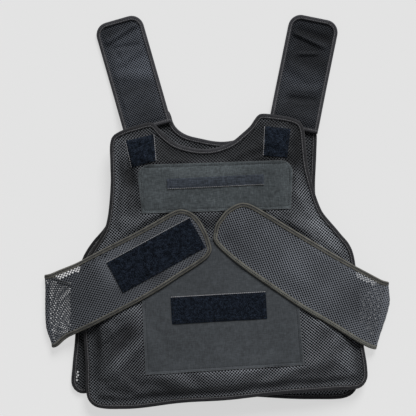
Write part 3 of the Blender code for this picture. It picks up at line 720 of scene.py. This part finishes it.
def net_solid(net, top, bottom, top_holes, bottom_holes, through, round_off=0.35, sink=1.0, pit=0.0):
    """Points, faces and attributes of a closed cloth or pad over a net.

    top and bottom give a point's place for flat coordinates and a height above that side. The
    picked cells get a hole: right through where through says so, a pit elsewhere. The attribute
    rise is 1 along the threads' middles, and goes down to the holes. round_off is how far a hole's
    rim lies below them, sink how far a pit's middle does, and pit is the rise there.
    """
    count = len(net.knots)
    points = [top(net.knots, 0.0), bottom(net.knots, 0.0)]
    rise = [np.ones(2 * count)]
    tris = []  # triangles, with their tones and shades
    first, second = net.walls.T
    quads = [np.stack([first + count, second + count, second, first], 1)]
    made = 2 * count
    open_rims = []
    for side, place, holes in ((0, top, top_holes), (1, bottom, bottom_holes)):
        corner = net.quads + side * count
        flip = slice(None, None, -1) if side else slice(None)
        quads.append(corner[~holes][:, flip])
        picked = np.nonzero(holes)[0]
        rim = made + np.arange(len(picked) * 8).reshape(-1, 8)
        points.append(place(net.rims(picked).reshape(-1, 2), -round_off))
        rise.append(np.full(rim.size, RIM_RISE))
        made += rim.size
        for k in range(4):
            a, b = corner[picked, k], corner[picked, (k + 1) % 4]
            p, q, r = rim[:, 2 * k], rim[:, 2 * k + 1], rim[:, (2 * k + 2) % 8]
            tone = EVEN_TONE + net.lean[picked] * (-0.5 if k % 2 else 0.5)
            for tri in ((a, q, p), (a, b, q), (b, r, q)):
                tris.append((np.stack(tri, 1)[:, flip], tone, net.shade[picked]))
        open_rims.append(rim[through[picked]])
        closed = rim[~through[picked]]
        points.append(place(net.centres[picked[~through[picked]]], -sink))
        rise.append(np.full(len(closed), pit))
        floor = made + np.arange(len(closed))
        made += len(closed)
        even = np.ones(len(closed))
        for k in range(8):
            tri = np.stack([closed[:, k], closed[:, (k + 1) % 8], floor], 1)
            tris.append((tri[:, flip], EVEN_TONE * even, even))
    if through.any():
        upper, lower = open_rims
        for k in range(8):
            n = (k + 1) % 8
            quads.append(np.stack([upper[:, k], upper[:, n], lower[:, n], lower[:, k]], 1))
    quads = np.concatenate(quads)
    even = np.ones(len(quads))
    tris, tone, shade = (np.concatenate(column) for column in zip(*tris))
    tone, shade = np.append(tone, EVEN_TONE * even), np.append(shade, even)
    values = {"rise": ("POINT", np.concatenate(rise)), "tone": ("FACE", tone), "shade": ("FACE", shade)}
    return np.concatenate(points), [tris, quads], values


def tape(frames, closed, lip, half, seam):
    """Points and quads of a tape folded over an edge. frames holds edge points, normals, ways out."""
    edge, normal, way_out = frames
    wall = WALL - 0.2
    inner = half - wall
    edge_line = min(1.2, lip - seam - 0.9)
    upper = [  # out of the edge, along the normal
        (-lip, inner + 0.1), (-lip - 0.1, half - 0.35), (-lip + edge_line, half), (-seam - 0.8, half),
        (-seam, half - 0.3), (-seam + 0.8, half), (-1.7, half - 0.1), (-0.5, 0.66 * half), (0, 0.2 * half),
    ]
    lower = [(out, -up) for out, up in upper[::-1]]
    hollow = [(-wall - 0.6, -0.7 * inner), (-wall - 0.6, 0.7 * inner)]
    out, up = np.array(upper + lower + hollow).T
    steps = np.linalg.norm(np.diff(edge, axis=0), axis=1)
    along = 2 * math.pi * np.concatenate([[0], np.cumsum(steps)])[:, None]
    waving = np.sin(along / 5.1) + 0.7 * np.sin(along / 13.7 + out)
    up = up * (1 + (np.abs(up) > inner + 0.3) * RIPPLE / half * waving)
    points = edge[:, None] + way_out[:, None] * out[:, None] + normal[:, None] * up[..., None]
    index = np.arange(up.size).reshape(up.shape)
    around = np.concatenate([index, index[:, :1]], 1)
    if closed:
        return points.reshape(-1, 3), [grid_quads(np.concatenate([around, around[:1]]))]
    return points.reshape(-1, 3), [grid_quads(around), index[:1, ::-1], index[-1:]]


def level_frames(outline, height):
    """Edge points, normals and ways out along an outline that lies on a height function."""
    xy, out = outline.points, outline.outward()
    slope_x = (height(xy + (1, 0)) - height(xy - (1, 0))) / 2
    slope_y = (height(xy + (0, 1)) - height(xy - (0, 1))) / 2
    normal = unit(np.stack([-slope_x, -slope_y, np.ones(len(xy))], -1))
    way_out = unit(raised(out, slope_x * out[:, 0] + slope_y * out[:, 1]))
    return raised(xy, height(xy)), normal, way_out


STITCH = np.array([(-0.5, 0, 0), (0.5, 0, 0), (0, -0.5, 0), (0, 0.5, 0), (0, 0, 1), (0, 0, -1)])
STITCH_FACES = np.array(
    [(0, 2, 4), (2, 1, 4), (1, 3, 4), (3, 0, 4), (2, 0, 5), (1, 2, 5), (3, 1, 5), (0, 3, 5)]
)


def stitches(path, normals, closed, pitch, size):
    """Points and triangles of a row of stitches along a path on a cloth."""
    nodes = np.concatenate([path, path[:1]]) if closed else path
    steps = np.diff(nodes, axis=0)
    ends = np.concatenate([[0], np.cumsum(np.linalg.norm(steps, axis=1))])
    count = max(1, int(ends[-1] / pitch))
    at = (np.arange(count) + 0.5) * ends[-1] / count
    before = np.clip(np.searchsorted(ends, at, side="right") - 1, 0, len(steps) - 1)
    share = (at - ends[before]) / np.maximum(ends[before + 1] - ends[before], 1e-9)
    along, up = unit(steps[before]), unit(normals[before % len(normals)])
    axes = np.stack([along, np.cross(up, along), up], 1)
    points = (nodes[before] + steps[before] * share[:, None])[:, None] + STITCH * size @ axes
    faces = STITCH_FACES + 6 * np.arange(count)[:, None, None]
    return points.reshape(-1, 3), faces.reshape(-1, 3)


def sewn(points, faces, seams):
    """A solid and its rows of stitches as one, with the number of each face's material.

    A seam is a path, its normals, whether it is closed, its row from the tables, and its material.
    """
    points, picks = [points], [np.zeros(sum(len(f) for f in faces))]
    for path, normals, closed, row, pick in seams:
        start = sum(len(p) for p in points)
        row_points, row_faces = stitches(path, normals, closed, *row)
        points.append(row_points)
        faces.append(row_faces + start)
        picks.append(np.full(len(row_faces), pick))
    return np.concatenate(points), faces, np.concatenate(picks)


# The loose cover of the front panel


class Lattice:
    """Heights at the knots of a net, read between them as one smooth surface."""

    def __init__(self, net, heights):
        self.inverse, self.low = np.linalg.inv(net.basis), net.low
        grid = np.zeros(net.used.shape)
        grid[net.used] = heights
        self.grid = np.pad(grid, 3)

    def __call__(self, xy):
        at = xy @ self.inverse - self.low + 3
        cell = np.floor(at).astype(int)
        t = at - cell
        weights = (1 - t) ** 3, 4 - 6 * t**2 + 3 * t**3, 1 + 3 * t + 3 * t**2 - 3 * t**3, t**3
        out = np.zeros(at.shape[:-1])
        for i in range(4):
            for j in range(4):
                row = np.clip(cell[..., 0] + i - 1, 0, self.grid.shape[0] - 1)
                column = np.clip(cell[..., 1] + j - 1, 0, self.grid.shape[1] - 1)
                out += weights[i][..., 0] * weights[j][..., 1] * self.grid[row, column] / 36
        return out


def settled(points, quads, held, spare, steps):
    """Where a sheet comes to rest that is sewn down at some points and too large for its pad."""
    scene = bpy.context.scene
    made = []
    for name, drop in (("loose_sheet", 0.0), ("pad_below", 1.0)):
        mesh = bpy.data.meshes.new(name)
        mesh.from_pydata(((points - (0, 0, drop)) * MM).tolist(), [], quads.tolist())
        made.append(bpy.data.objects.new(name, mesh))
        scene.collection.objects.link(made[-1])
    sheet, pad = made
    pad.modifiers.new("collision", "COLLISION")
    pad.collision.thickness_outer = LOOSE_GAP
    sheet.vertex_groups.new(name="sewn").add(held.tolist(), 1.0, "REPLACE")
    cloth = sheet.modifiers.new("cloth", "CLOTH")
    for name, value in CLOTH_SETTINGS.items():
        setattr(cloth.settings, name, value)
    cloth.settings.shrink_min = -spare
    cloth.settings.vertex_group_mass = "sewn"
    cloth.settings.effector_weights.gravity = 0.5
    cloth.collision_settings.distance_min = LOOSE_GAP
    cloth.point_cache.frame_end = steps
    for step in range(1, steps + 1):
        scene.frame_set(step)
    evaluated = sheet.evaluated_get(bpy.context.evaluated_depsgraph_get())
    out = np.empty(len(points) * 3, np.float32)
    evaluated.data.vertices.foreach_get("co", out)
    for item in made:
        bpy.data.objects.remove(item)
    scene.frame_set(1)
    return out.reshape(-1, 3) / MM


def loosened():
    """The wrinkles of the front cover: the height of the settled cloth over the smooth pad."""
    net = Net(front, *LOOSE_WEAVE)
    smooth = raised(net.knots, front_top(net.knots))
    start = smooth + raised(0 * net.knots, 0.6 + 0.6 * waves(net.knots, 70.0, 8))
    end = settled(start, net.quads, np.unique(net.walls), LOOSE_SPARE, LOOSE_STEPS)
    height = end[:, 2] - smooth[:, 2]
    return Lattice(net, WRINKLE_TOP * np.tanh(height / WRINKLE_SOFT))


# The panels

BODY_NET = net_material("body_net", (134, 138, 144), (34, 35, 39), (4, 4, 6), 0.5, 0.32)
FLAP_NET = net_material("flap_net", (113, 117, 124), (44, 46, 51), (12, 13, 15), 0.26, 0.25)
STRAP_NET = net_material("strap_net", (72, 76, 83), (18, 20, 25), (5, 5, 7), 0.3, 0.3)
DARK_TAPE, FADED_TAPE, BROWN_TAPE, PALE_TAPE, HIGHLIGHT_TAPE = (
    woven_material(name, colour, 0.0009, 45, 0.75, blotch, shaded=shaded)
    for name, colour, blotch, shaded in (
        ("edge_binding", (38, 38, 41), 0.3, True),
        ("faded_binding", (58, 58, 62), 0.3, True),
        ("flap_binding", (74, 74, 72), 0.3, False),
        ("pale_binding", (103, 104, 99), 0.3, False),
        # a painted highlight along a flap binding's edge and fold
        ("binding_highlight", (103, 101, 93), 0.35, False),
    )
)
WOVEN = {
    "chest_panel": woven_material("chest_cloth", (75, 81, 84), 0.0008, 3, 0.8, slub=0.25),
    "pocket_panel": woven_material("pocket_cloth", (70, 74, 78), 0.0008, 3, 0.8, slub=0.15),
}
PILE = pile_material("loop_pile", (20, 25, 33))
# a painted highlight along a cloth's turned edge
CLOTH_EDGE_HIGHLIGHT = woven_material("cloth_edge_highlight", (98, 101, 104), 0.0008, 3, 0.8)
STRIP_TAPE = woven_material("strip_tape", (58, 64, 73), 0.0014, 3, 0.8, slub=0.35)
HOOK = woven_material("hook_tape", (30, 31, 34), 0.0016, 0, 0.6)
DARK_THREAD, SEAM_THREAD, LIGHT_THREAD = (
    woven_material(name, (red, red, blue), 0.0005, 20, 0.7)
    for name, red, blue in (("dark_thread", 26, 29), ("seam_thread", 130, 132), ("light_thread", 150, 152))
)

front = panel_outline(FRONT_HALF, FRONT_PLACE, FRONT_PUSHES)
back = panel_outline(BACK_HALF, BACK_PLACE, BACK_PUSHES)


def on_front(xy, height):
    return raised(xy, front_top(xy) + height)


def leaning(xy, table, seed):
    """Which threads the light picks out: a table of spots, and a slow random change."""
    amount, length = LEAN_SWELL
    return np.clip(amount * waves(xy, length, seed) + spots(xy, table), -1, 1)


def make_tape(name, node, frames, closed, shape, material, thread, row):
    """A binding with a row of stitches on each side of it."""
    edge, normal, way_out = frames
    lip, half, seam = shape
    lines = [(edge - way_out * seam + up * (half - SUNK), up) for up in (normal, -normal)]
    seams = [(line, up, closed, row, 1) for line, up in lines]
    points, faces, picks = sewn(*tape(frames, closed, lip, half, seam), seams)
    middles = np.concatenate([points[f].mean(1) for f in faces])
    shade = 1 + fold_height(middles[:, :2], TAPE_SHADES)
    slot, materials = "edge_binding", [material, thread]
    if material is BROWN_TAPE:
        slot = "flap_binding"
        materials.append(HIGHLIGHT_TAPE)
        ring, across = np.divmod(np.arange(len(faces[0])), TAPE_SIDES)
        # the sides along the edge and the fold get a painted highlight
        painted_light = np.isin(across, HIGHLIT_SIDES)
        tape_picks = picks[: len(painted_light)]
        tape_picks[painted_light] = 2
        if "left" in name:
            materials.append(PALE_TAPE)
            tape_picks[(ring > PALE_FROM * len(edge)) & ~painted_light] = 3
    return new_piece(name, points, faces, materials, node, slot, {"shade": ("FACE", shade)}, picks)


def make_panel(name, outline, base, top, net, top_holes, bottom_holes, through):
    """A padded panel between two surfaces, with its binding."""
    def place_top(flat, height):
        return raised(flat, top(flat) + height)

    def place_bottom(flat, height):
        return raised(flat, base(flat) + rim_raise(outline.depth(flat)) - height)

    points, faces, values = net_solid(net, place_top, place_bottom, top_holes, bottom_holes, through)
    cover = new_piece(name + "_cover", points, faces, [BODY_NET], name, "mesh_cloth", values)
    frames = level_frames(outline, lambda xy: base(xy) + PANEL_HALF)
    binding = name + "_binding"
    make_tape(name + "_tape", binding, frames, True, PANEL_BINDING, DARK_TAPE, SEAM_THREAD, SEAM_ROW)


def make_front_panel():
    net = Net(front, *FRONT_WEAVE)
    net.lean = leaning(net.centres, FRONT_LEANS, 9)
    net.shade = np.maximum(DARKEST, 1 + fold_height(net.centres, FRONT_SHADES))
    holes = net.every.copy()
    for shape in (CHEST_PANEL, POCKET_PANEL):
        half = shape["bottom"] / 2, shape["height"] / 2
        over = np.abs(own(net.centres, shape["place"])) - half
        holes &= (over > np.negative(CLOTH_MARGIN)).any(1)
    make_panel("front_panel", front, front_base, front_top, net, holes, net.none, net.none)


def make_back_panel():
    """The back panel. Its upper side has holes where it is seen, and light comes through at one corner."""
    net = Net(back, *BACK_WEAVE)
    net.lean = leaning(net.centres, (), 10)
    net.shade = BACK_TONE + fold_height(net.centres, BACK_SHADES)
    depth = back.depth(net.centres)
    edge = (depth < BACK_SEEN) & (front.depth(net.centres) < BACK_UNDER)
    near, far = BACK_LIGHT["depths"]
    corner = np.abs(net.centres - BACK_LIGHT["middle"]).max(1) < BACK_LIGHT["half"]
    through = corner & (depth > near) & (depth < far) & edge

    def base(xy):
        return np.zeros(xy.shape[:-1])

    def top(xy):
        return pad_swell(back.depth(xy))

    make_panel("back_panel", back, base, top, net, edge, net.other | through, through)


# The sewn-on cloths


def spaced(length, near, step):
    """Places along a length: some given distances from both ends, and even steps between them."""
    count = max(1, round((length - 2 * near[-1]) / step))
    middle = np.linspace(near[-1], length - near[-1], count + 1)
    return np.concatenate([near[:-1], middle, length - np.array(near[-2::-1])])


def four_sided(shape):
    """The corners of a cloth: lower left, lower right, upper right, upper left."""
    top, bottom, high = shape["top"] / 2, shape["bottom"] / 2, shape["height"] / 2
    return turned([(-bottom, -high), (bottom, -high), (top, high), (-top, high)], shape["place"])


def mean_sides(corners):
    """The mean width and height of a four-sided cloth."""
    low_left, low_right, high_right, high_left = corners
    wide = np.linalg.norm((high_right + low_right - high_left - low_left) / 2)
    return wide, np.linalg.norm((high_left + high_right - low_left - low_right) / 2)


def sheet_grid(corners, corner, near, step):
    """Rows of flat points over a four-sided cloth, and each point's distance from its edge."""
    low_left, low_right, high_right, high_left = corners
    wide, high = mean_sides(corners)
    xs = spaced(wide, near, step) / wide
    rows, edges = [], []
    for y in spaced(high, near, step):
        left = low_left + (high_left - low_left) * y / high
        right = low_right + (high_right - low_right) * y / high
        into = max(0.0, y - (high - corner))
        cut = unit(right - left) * (corner - math.sqrt(max(0.0, corner**2 - into**2)))
        left, right = left + cut, right - cut
        rows.append(left + (right - left) * xs[:, None])
        edges.append(np.minimum(min(y, high - y), np.minimum(xs, 1 - xs) * wide))
    return np.array(rows), np.array(edges)


def sheet_solid(rows, place, top, bottom):
    """A closed sheet over rows of flat points, between two heights over a surface."""
    index = np.arange(rows[..., 0].size).reshape(rows.shape[:2])
    sides = [place(rows.reshape(-1, 2), np.broadcast_to(z, index.shape).ravel()) for z in (top, bottom)]
    quads, loop = grid_quads(index), grid_loop(index)
    after = np.roll(loop, -1)
    walls = np.stack([loop + index.size, after + index.size, after, loop], 1)
    return np.concatenate(sides), [quads, quads[:, ::-1] + index.size, walls]


def make_cloth(name, shape, seed):
    """A woven cloth with its edge turned under and stitched, and a painted highlight along that edge."""
    rows, edge = sheet_grid(four_sided(shape), shape["corner"], CLOTH_LINES, CLOTH_STEP)
    rolled = -0.4 * (1 - smoothstep(edge)) - 0.5 * bell(edge - CLOTH_SEAM, 0.9)
    pucker = 0.16 * np.sin(rows[..., 0] * 1.1 + rows[..., 1] * 0.9) * bell(edge - CLOTH_SEAM, 4)
    slack = 0.35 * waves(rows, 34.0, seed) * smoothstep(edge / 20)
    top = CLOTH_TOP + rolled + pucker + slack
    seam = on_front(Outline(grid_loop(rows, 5)).points, CLOTH_TOP - 0.3)
    # a light line along the turned edge: a painted highlight
    rim = on_front(grid_loop(rows, 1), CLOTH_TOP - 0.2)
    seams = (seam, UP, True, CLOTH_ROW, 1), (rim, UP, True, HIGHLIGHT_ROW, 2)
    points, faces, picks = sewn(*sheet_solid(rows, on_front, top, CLOTH_BOTTOM), seams)
    materials = [WOVEN[name], DARK_THREAD, CLOTH_EDGE_HIGHLIGHT]
    piece = new_piece(name + "_sewn", points, faces, materials, name, "woven_cloth", picks=picks)


def make_pile(name, corners, place, heights, seed, rests_on, side=1, material=PILE, lines=()):
    """A hook or loop tape: a sheet with a fuzzy face, stitched near its edge.

    lines names the edges, 0 lower, 1 upper, 2 left and 3 right, that have a light thread.
    """
    corners = np.array(corners, float)
    rows, edge = sheet_grid(corners, 0, PILE_LINES, PILE_STEP)
    rng = np.random.default_rng(seed)
    fuzz = rng.uniform(-0.28, 0.22, edge.shape) * smoothstep((edge - 0.3) / 1.2)
    bottom, top = heights
    high = top + fuzz - 0.6 * (1 - smoothstep(edge / 1.2)) - 0.5 * bell(edge - PILE_SEAM, 0.9)
    levels = (high, bottom) if side > 0 else (bottom, -high)

    def seam(line, closed, drop, row, pick):
        line = place(line, np.full(len(line), side * (top - drop)))
        return line, side * UP, closed, row, pick

    edges = rows[0], rows[-1], rows[:, 0], rows[:, -1]
    seams = [seam(grid_loop(rows, 3), True, 0.3, PILE_ROW, 1)]
    seams += [seam(edges[k], False, 0.7, LIGHT_ROW, 2) for k in lines]
    points, faces, picks = sewn(*sheet_solid(rows, place, *levels), seams)
    slot = "hook_tape" if material is HOOK else "loop_pile"
    materials = [material, DARK_THREAD, LIGHT_THREAD][: 3 if lines else 2]
    piece = new_piece(name + "_tape", points, faces, materials, name, slot, picks=picks)
    wide, high = mean_sides(corners)


def make_cloths():
    """The cloths on the front panel, each with its strip, and the patches on its shoulders."""
    strips = (
        ("chest_panel", CHEST_PANEL, 3, "chest_strip", CHEST_STRIP, 5, STRIP_TAPE, (0,)),
        ("pocket_panel", POCKET_PANEL, 4, "pocket_loop_strip", POCKET_STRIP, 6, PILE, (1,)),
    )
    for cloth, shape, seed, strip, strip_shape, strip_seed, material, lines in strips:
        make_cloth(cloth, shape, seed)
        corners, on = four_sided(strip_shape), cloth + "_sewn"
        make_pile(
            strip, corners, on_front, STRIP_HEIGHTS, strip_seed, on, material=material, lines=lines
        )
    for side, seed, lines in (("right", 7, (2, 3)), ("left", 8, (2,))):
        a, b, c, d = SHOULDER_PADS[side]
        name, heights = "shoulder_pad_" + side, SHOULDER_PAD_HEIGHTS
        make_pile(name, (b, c, d, a), on_front, heights, seed, "front_panel_cover", lines=lines)


# The shoulder straps


def strap_outline(wider):
    half, corner = STRAP_WIDTH / 2, STRAP_CORNER
    straight = STRAP_LENGTH - corner
    points = [(x, 0.0) for x in np.arange(-half, half, 3.0)]
    points += [(half, y) for y in np.arange(0, straight, 3.0)]
    for side, start in ((1, 0), (-1, 90)):
        for angle in np.radians(start + 9 * np.arange(11)):
            x = side * (half - corner) + corner * math.cos(angle)
            points.append((x, straight + corner * math.sin(angle)))
    points += [(-half, y) for y in np.arange(straight, 0, -3.0)]
    kept = [p for i, p in enumerate(points) if math.dist(p, points[i - 1]) > 0.2]
    return Outline([(x + wider * (x > 0), y) for x, y in kept])


def make_strap(side):
    """A shoulder strap with its binding, and the hook tape under its tip."""
    place, folds = STRAP_PLACES[side], STRAP_FOLDS[side]
    outline = strap_outline(STRAP_WIDER[side])
    distances, heights = zip(*STRAP_LEVELS[side])

    def level(flat):
        return np.interp(flat[..., 1], distances, heights)

    def surface(flat, height, sign):
        rise = fold_height(flat, folds)
        if sign < 0:
            rise = np.maximum(0.0, rise)
        inside = smoothstep((outline.depth(flat) - BAND_LIP - 1) / STRAP_RAMP)
        z = level(flat) + inside * (STRAP_CROWN + rise) + sign * (BAND_CLOTH / 2 + height)
        return raised(turned(flat, place), z)

    def above(flat, height):
        return surface(flat, height, 1)

    def below(flat, height):
        return surface(flat, height, -1)

    net = Net(outline, *STRAP_WEAVES[side])
    tone, *shades = STRAP_SHADES[side]
    net.shade = tone + fold_height(net.centres, shades)
    wide, high, middle = STRAP_HOOK["width"] / 2, STRAP_HOOK["height"] / 2, STRAP_HOOK["along"][side]
    hook = np.abs(net.centres - (0, middle))
    under = (hook[:, 0] > wide - HOOK_MARGIN) | (hook[:, 1] > high - HOOK_MARGIN)
    points, faces, values = net_solid(net, above, below, net.every, under, net.none, sink=0.8)
    name = "shoulder_strap_" + side
    cloth = new_piece(name + "_cloth", points, faces, [STRAP_NET], name, "mesh_cloth", values)

    edge, normal, way_out = level_frames(outline, level)
    edge = raised(turned(edge[:, :2], place), edge[:, 2])
    normal, way_out = (raised(spun(v[:, :2], place[2]), v[:, 2]) for v in (normal, way_out))
    binding, frames = "shoulder_strap_binding_" + side, (edge, normal, way_out)
    make_tape(name + "_tape", binding, frames, True, STRAP_BINDING, FADED_TAPE, SEAM_THREAD, SEAM_ROW)

    def under_cloth(flat, height):
        return below(flat, -height)

    name, on = "shoulder_strap_hook_" + side, name + "_cloth"
    low, far = middle - high, middle + high
    corners = [(-wide, low), (wide, low), (wide, far), (-wide, far)]
    make_pile(name, corners, under_cloth, STRAP_HOOK_HEIGHTS, 11, on, side=-1, material=HOOK)


# The waist flaps


def flap_height(xy):
    """The height of a flap's middle where it lies on the front panel and droops beside it."""
    depth = front.depth(xy)
    folds = np.maximum(0.0, fold_height(xy, FRONT_FOLDS))
    over = np.maximum(SIDE_LIFT, front_base(xy)) + pad_swell(depth + FLAP_BRIDGE) + folds + FLAP_RIDE
    return over + (FOLD_TOP - over) * smoothstep(-depth / FLAP_DROOP)


def side_x(outline, y, sign):
    """Where an outline's side crosses a height y, on the wearer's left or right."""
    before = np.roll(outline.points, 1, axis=0)
    spans = (before[:, 1] > y) != (outline.points[:, 1] > y)
    a, b = before[spans], outline.points[spans]
    x = a[:, 0] + (y - a[:, 1]) / (b[:, 1] - a[:, 1]) * (b[:, 0] - a[:, 0])
    return x.max() if sign > 0 else x.min()


class Flap:
    """A waist flap's middle surface, and the flat cut that it was folded from."""

    def __init__(self, side):
        sign = 1 if side == "left" else -1
        shares = np.linspace(0, 1, FLAP_COLUMNS)

        def across(row, height):
            upper_x, upper_y, lower_x, lower_y, bulge = row
            peak = FLAP_BULGE_AT[side] if bulge > 0 else FLAP_TIP_BULGE_AT
            near = np.where(shares < peak, shares / peak, (1 - shares) / (1 - peak))
            x = upper_x + (lower_x - upper_x) * shares + sign * bulge * smoothstep(near)
            xy = np.stack([x, upper_y + (lower_y - upper_y) * shares], -1)
            return raised(xy, height(xy) if callable(height) else height)

        upper_y, lower_y = FLAP_ROOTS[side]
        upper_x, lower_x = (side_x(back, y, sign) + sign * FLAP_SEAM for y in (upper_y, lower_y))
        rows = [across((upper_x, upper_y, lower_x, lower_y, 0), PANEL_HALF)]
        rows += [across(row, BAND_FLOOR) for row in FLAP_UNDER[side]]
        fold = rows[-1]
        crease = unit(fold[-1] - fold[0])
        way_out = np.array([-crease[1], crease[0], 0]) * sign
        for angle in math.pi * np.arange(1, FOLD_STEPS + 1) / FOLD_STEPS:
            lift = np.array([0, 0, FOLD_RADIUS * (1 - math.cos(angle))])
            rows.append(fold + lift + way_out * (FOLD_RADIUS + FOLD_SLACK[side]) * math.sin(angle))
        rows += [across(row, flap_height) for row in FLAP_OVER[side]]
        self.points = smooth_path(np.array(rows), FLAP_STEP)
        self.top = np.abs(self.points[:, 0, 2] - FOLD_TOP).argmin()
        self.flat = self.points[:, :, :2].copy()
        for i in range(self.top - 1, -1, -1):
            gap = np.linalg.norm(self.points[i + 1] - self.points[i], axis=1)
            self.flat[i] = self.flat[i + 1] + way_out[:2] * gap[:, None]
        self.crease, self.way_out = self.flat[self.top].mean(0), way_out[:2]
        normals = unit(np.cross(np.gradient(self.points, axis=0), np.gradient(self.points, axis=1)))
        self.normals = normals * np.sign(normals[-3, FLAP_COLUMNS // 2, 2])
        quads = grid_quads(np.arange(self.flat[..., 0].size).reshape(self.flat.shape[:2]))
        self.tris = np.concatenate([quads[:, (0, 1, 2)], quads[:, (0, 2, 3)]])
        flat_points = raised(self.flat, 0.0).reshape(-1, 3)
        self.tree = BVHTree.FromPolygons(flat_points.tolist(), self.tris.tolist())
        self.outline = Outline(grid_loop(self.flat.swapaxes(0, 1)))

    def place(self, xy, height):
        """The point over a flat point, at a height on the outer side."""
        found = [self.tree.find_nearest((x, y, 0.0)) for x, y in xy]
        tri = self.tris[[f[2] for f in found]]
        at = np.array([f[0][:2] for f in found])
        a, b, c = (self.flat.reshape(-1, 2)[tri[:, k]] for k in range(3))
        area = np.cross(b - a, c - a)
        wb = np.cross(at - a, c - a) / area
        wc = np.cross(b - a, at - a) / area
        weights = np.stack([1 - wb - wc, wb, wc], 1)[..., None]
        points, normals = ((v.reshape(-1, 3)[tri] * weights).sum(1) for v in (self.points, self.normals))
        return points + unit(normals) * np.broadcast_to(height, len(points))[:, None]

    def from_upper(self, xy):
        """Distance of flat points from the upper edge."""
        return np.linalg.norm(xy[:, None] - self.flat[None, :, 0], axis=2).min(1)

    def doubled(self, xy):
        """Where the flap lies over or under itself."""
        here = self.place(xy, 0.0)
        over = (xy - self.crease) @ self.way_out <= 0
        found = np.zeros(len(xy), bool)
        for rows, pick in ((self.points[2 : self.top], over), (self.points[self.top :], ~over)):
            quads = grid_quads(np.arange(rows[..., 0].size).reshape(rows.shape[:2]))
            flat_points = raised(rows[..., :2], 0.0).reshape(-1, 3)
            tree = BVHTree.FromPolygons(flat_points.tolist(), quads.tolist())
            near = [tree.find_nearest((x, y, 0.0))[3] for x, y, z in here[pick]]
            found[pick] = np.array(near) < 0.5
        return found

    def frames(self):
        """Edge points, normals and ways out, from the sewn end round the tip and back."""
        edge, normal = (
            np.concatenate([grid[:-1, 0], grid[-1, :-1:2], grid[::-1, -1]])
            for grid in (self.points, self.normals)
        )
        for _ in range(3):
            for line in (edge, normal):
                line[1:-1] = (line[:-2] + 2 * line[1:-1] + line[2:]) / 4
        along = unit(np.gradient(edge, axis=0))
        normal = unit(normal - along * (normal * along).sum(1)[:, None])
        way_out = np.cross(along, normal)
        outside = self.points[5, 0] - self.points[5, 1]
        return edge, normal, way_out * np.sign((way_out[5] * outside).sum())


def make_flap(side):
    """A waist flap with its binding and its patch."""
    flap = Flap(side)
    net = Net(flap.outline, *FLAP_WEAVES[side])
    below = (net.centres - flap.crease) @ flap.way_out > 1
    net.hole = FLAP_HOLE + HOLE_SWELL * waves(net.centres, 50, 12)
    if side == "right":
        amount, reach = PATCH_HOLE
        net.hole -= amount * smoothstep(1 + Outline(FLAP_LOOP_PATCH).depth(net.centres) / reach)
    net.lean = leaning(net.centres, FLAP_LEANS[side], 11)
    net.shade = 1 + fold_height(net.centres, FLAP_SHADES[side])
    through = flap.doubled(net.centres) | (flap.from_upper(net.centres) < OPEN_EDGE)
    through &= np.abs(net.centres[:, 0]) > FLAP_LINED[side]
    net.hole[through & ~below] = FLAP_OPENING[side]
    net.hole[below] = FLAP_OPENING[side] - UNDER_HOLE

    def outer(flat, height):
        return flap.place(flat, FLAP_NET_HALF + height)

    def inner(flat, height):
        return flap.place(flat, -FLAP_NET_HALF - height)

    every = net.every
    points, faces, values = net_solid(net, outer, inner, every, every, through, 0.2, 0.5, 0.15)
    name = "waist_flap_" + side
    cloth = new_piece(name + "_cloth", points, faces, [FLAP_NET], name, "mesh_cloth", values)
    binding, frames = "waist_flap_binding_" + side, flap.frames()
    make_tape(name + "_tape", binding, frames, False, FLAP_BINDING, BROWN_TAPE, DARK_THREAD, DOTTED_ROW)
    if side == "right":
        a, b, c, d = FLAP_LOOP_PATCH
        patch, heights, seed, settings = "flap_loop_patch", FLAP_LOOP_HEIGHTS, 21, {"lines": (1,)}
    else:
        a, b, c, d = FLAP_HOOK_PATCH
        patch, heights, seed = "flap_hook_patch", FLAP_HOOK_HEIGHTS, 22
        settings = {"side": -1, "material": HOOK}
    make_pile(patch, (b, c, d, a), flap.place, heights, seed, name + "_cloth", **settings)


# The floor, lights and camera


def make_stage():
    """A floor that glows like a light table, a pale world and one soft sun."""
    corners = [(-1, -1), (1, -1), (1, 1), (-1, 1)]
    mesh = bpy.data.meshes.new("floor")
    mesh.from_pydata([(FLOOR_HALF * x, FLOOR_HALF * y, FLOOR_Z) for x, y in corners], [], [(0, 1, 2, 3)])
    floor = bpy.data.objects.new("floor", mesh)
    bpy.context.scene.collection.objects.link(floor)
    n = Nodes("floor", 0.9)
    n.put(n.shader, Emission_Color=(1, 1, 1, 1), Emission_Strength=FLOOR_GLOW)
    mesh.materials.append(n.coloured(n.tones(n.noise(0.7), (0.3, 0.198), (0.7, 0.202))))
    world = bpy.data.worlds.new("studio")
    world.use_nodes = True
    world.node_tree.nodes["Background"].inputs["Color"].default_value = (1, 1, 1, 1)
    world.node_tree.nodes["Background"].inputs["Strength"].default_value = SKY
    bpy.context.scene.world = world
    light = bpy.data.lights.new("window", "SUN")
    light.angle = math.radians(SUN_WIDTH)
    light.energy = SUN
    lamp = bpy.data.objects.new("window", light)
    lamp.rotation_euler = (-Vector(SUN_FROM)).to_track_quat("-Z", "Y").to_euler()
    bpy.context.scene.collection.objects.link(lamp)


def make_camera():
    """A camera straight above, whose picture is as wide at the vest's middle as the photograph."""
    data = bpy.data.cameras.new("camera")
    camera = bpy.data.objects.new("camera", data)
    camera.location = CAMERA
    data.sensor_width = 36
    data.lens = 36 * (CAMERA[2] - VEST_MIDDLE) / PICTURE_WIDTH
    bpy.context.scene.collection.objects.link(camera)
    bpy.context.scene.camera = camera


wrinkles = None
wrinkles = loosened()
make_front_panel()
make_back_panel()
make_cloths()
for side in ("right", "left"):
    make_strap(side)
for side in ("right", "left"):
    make_flap(side)
make_stage()
make_camera()
bpy.context.scene.view_settings.view_transform = "Standard"
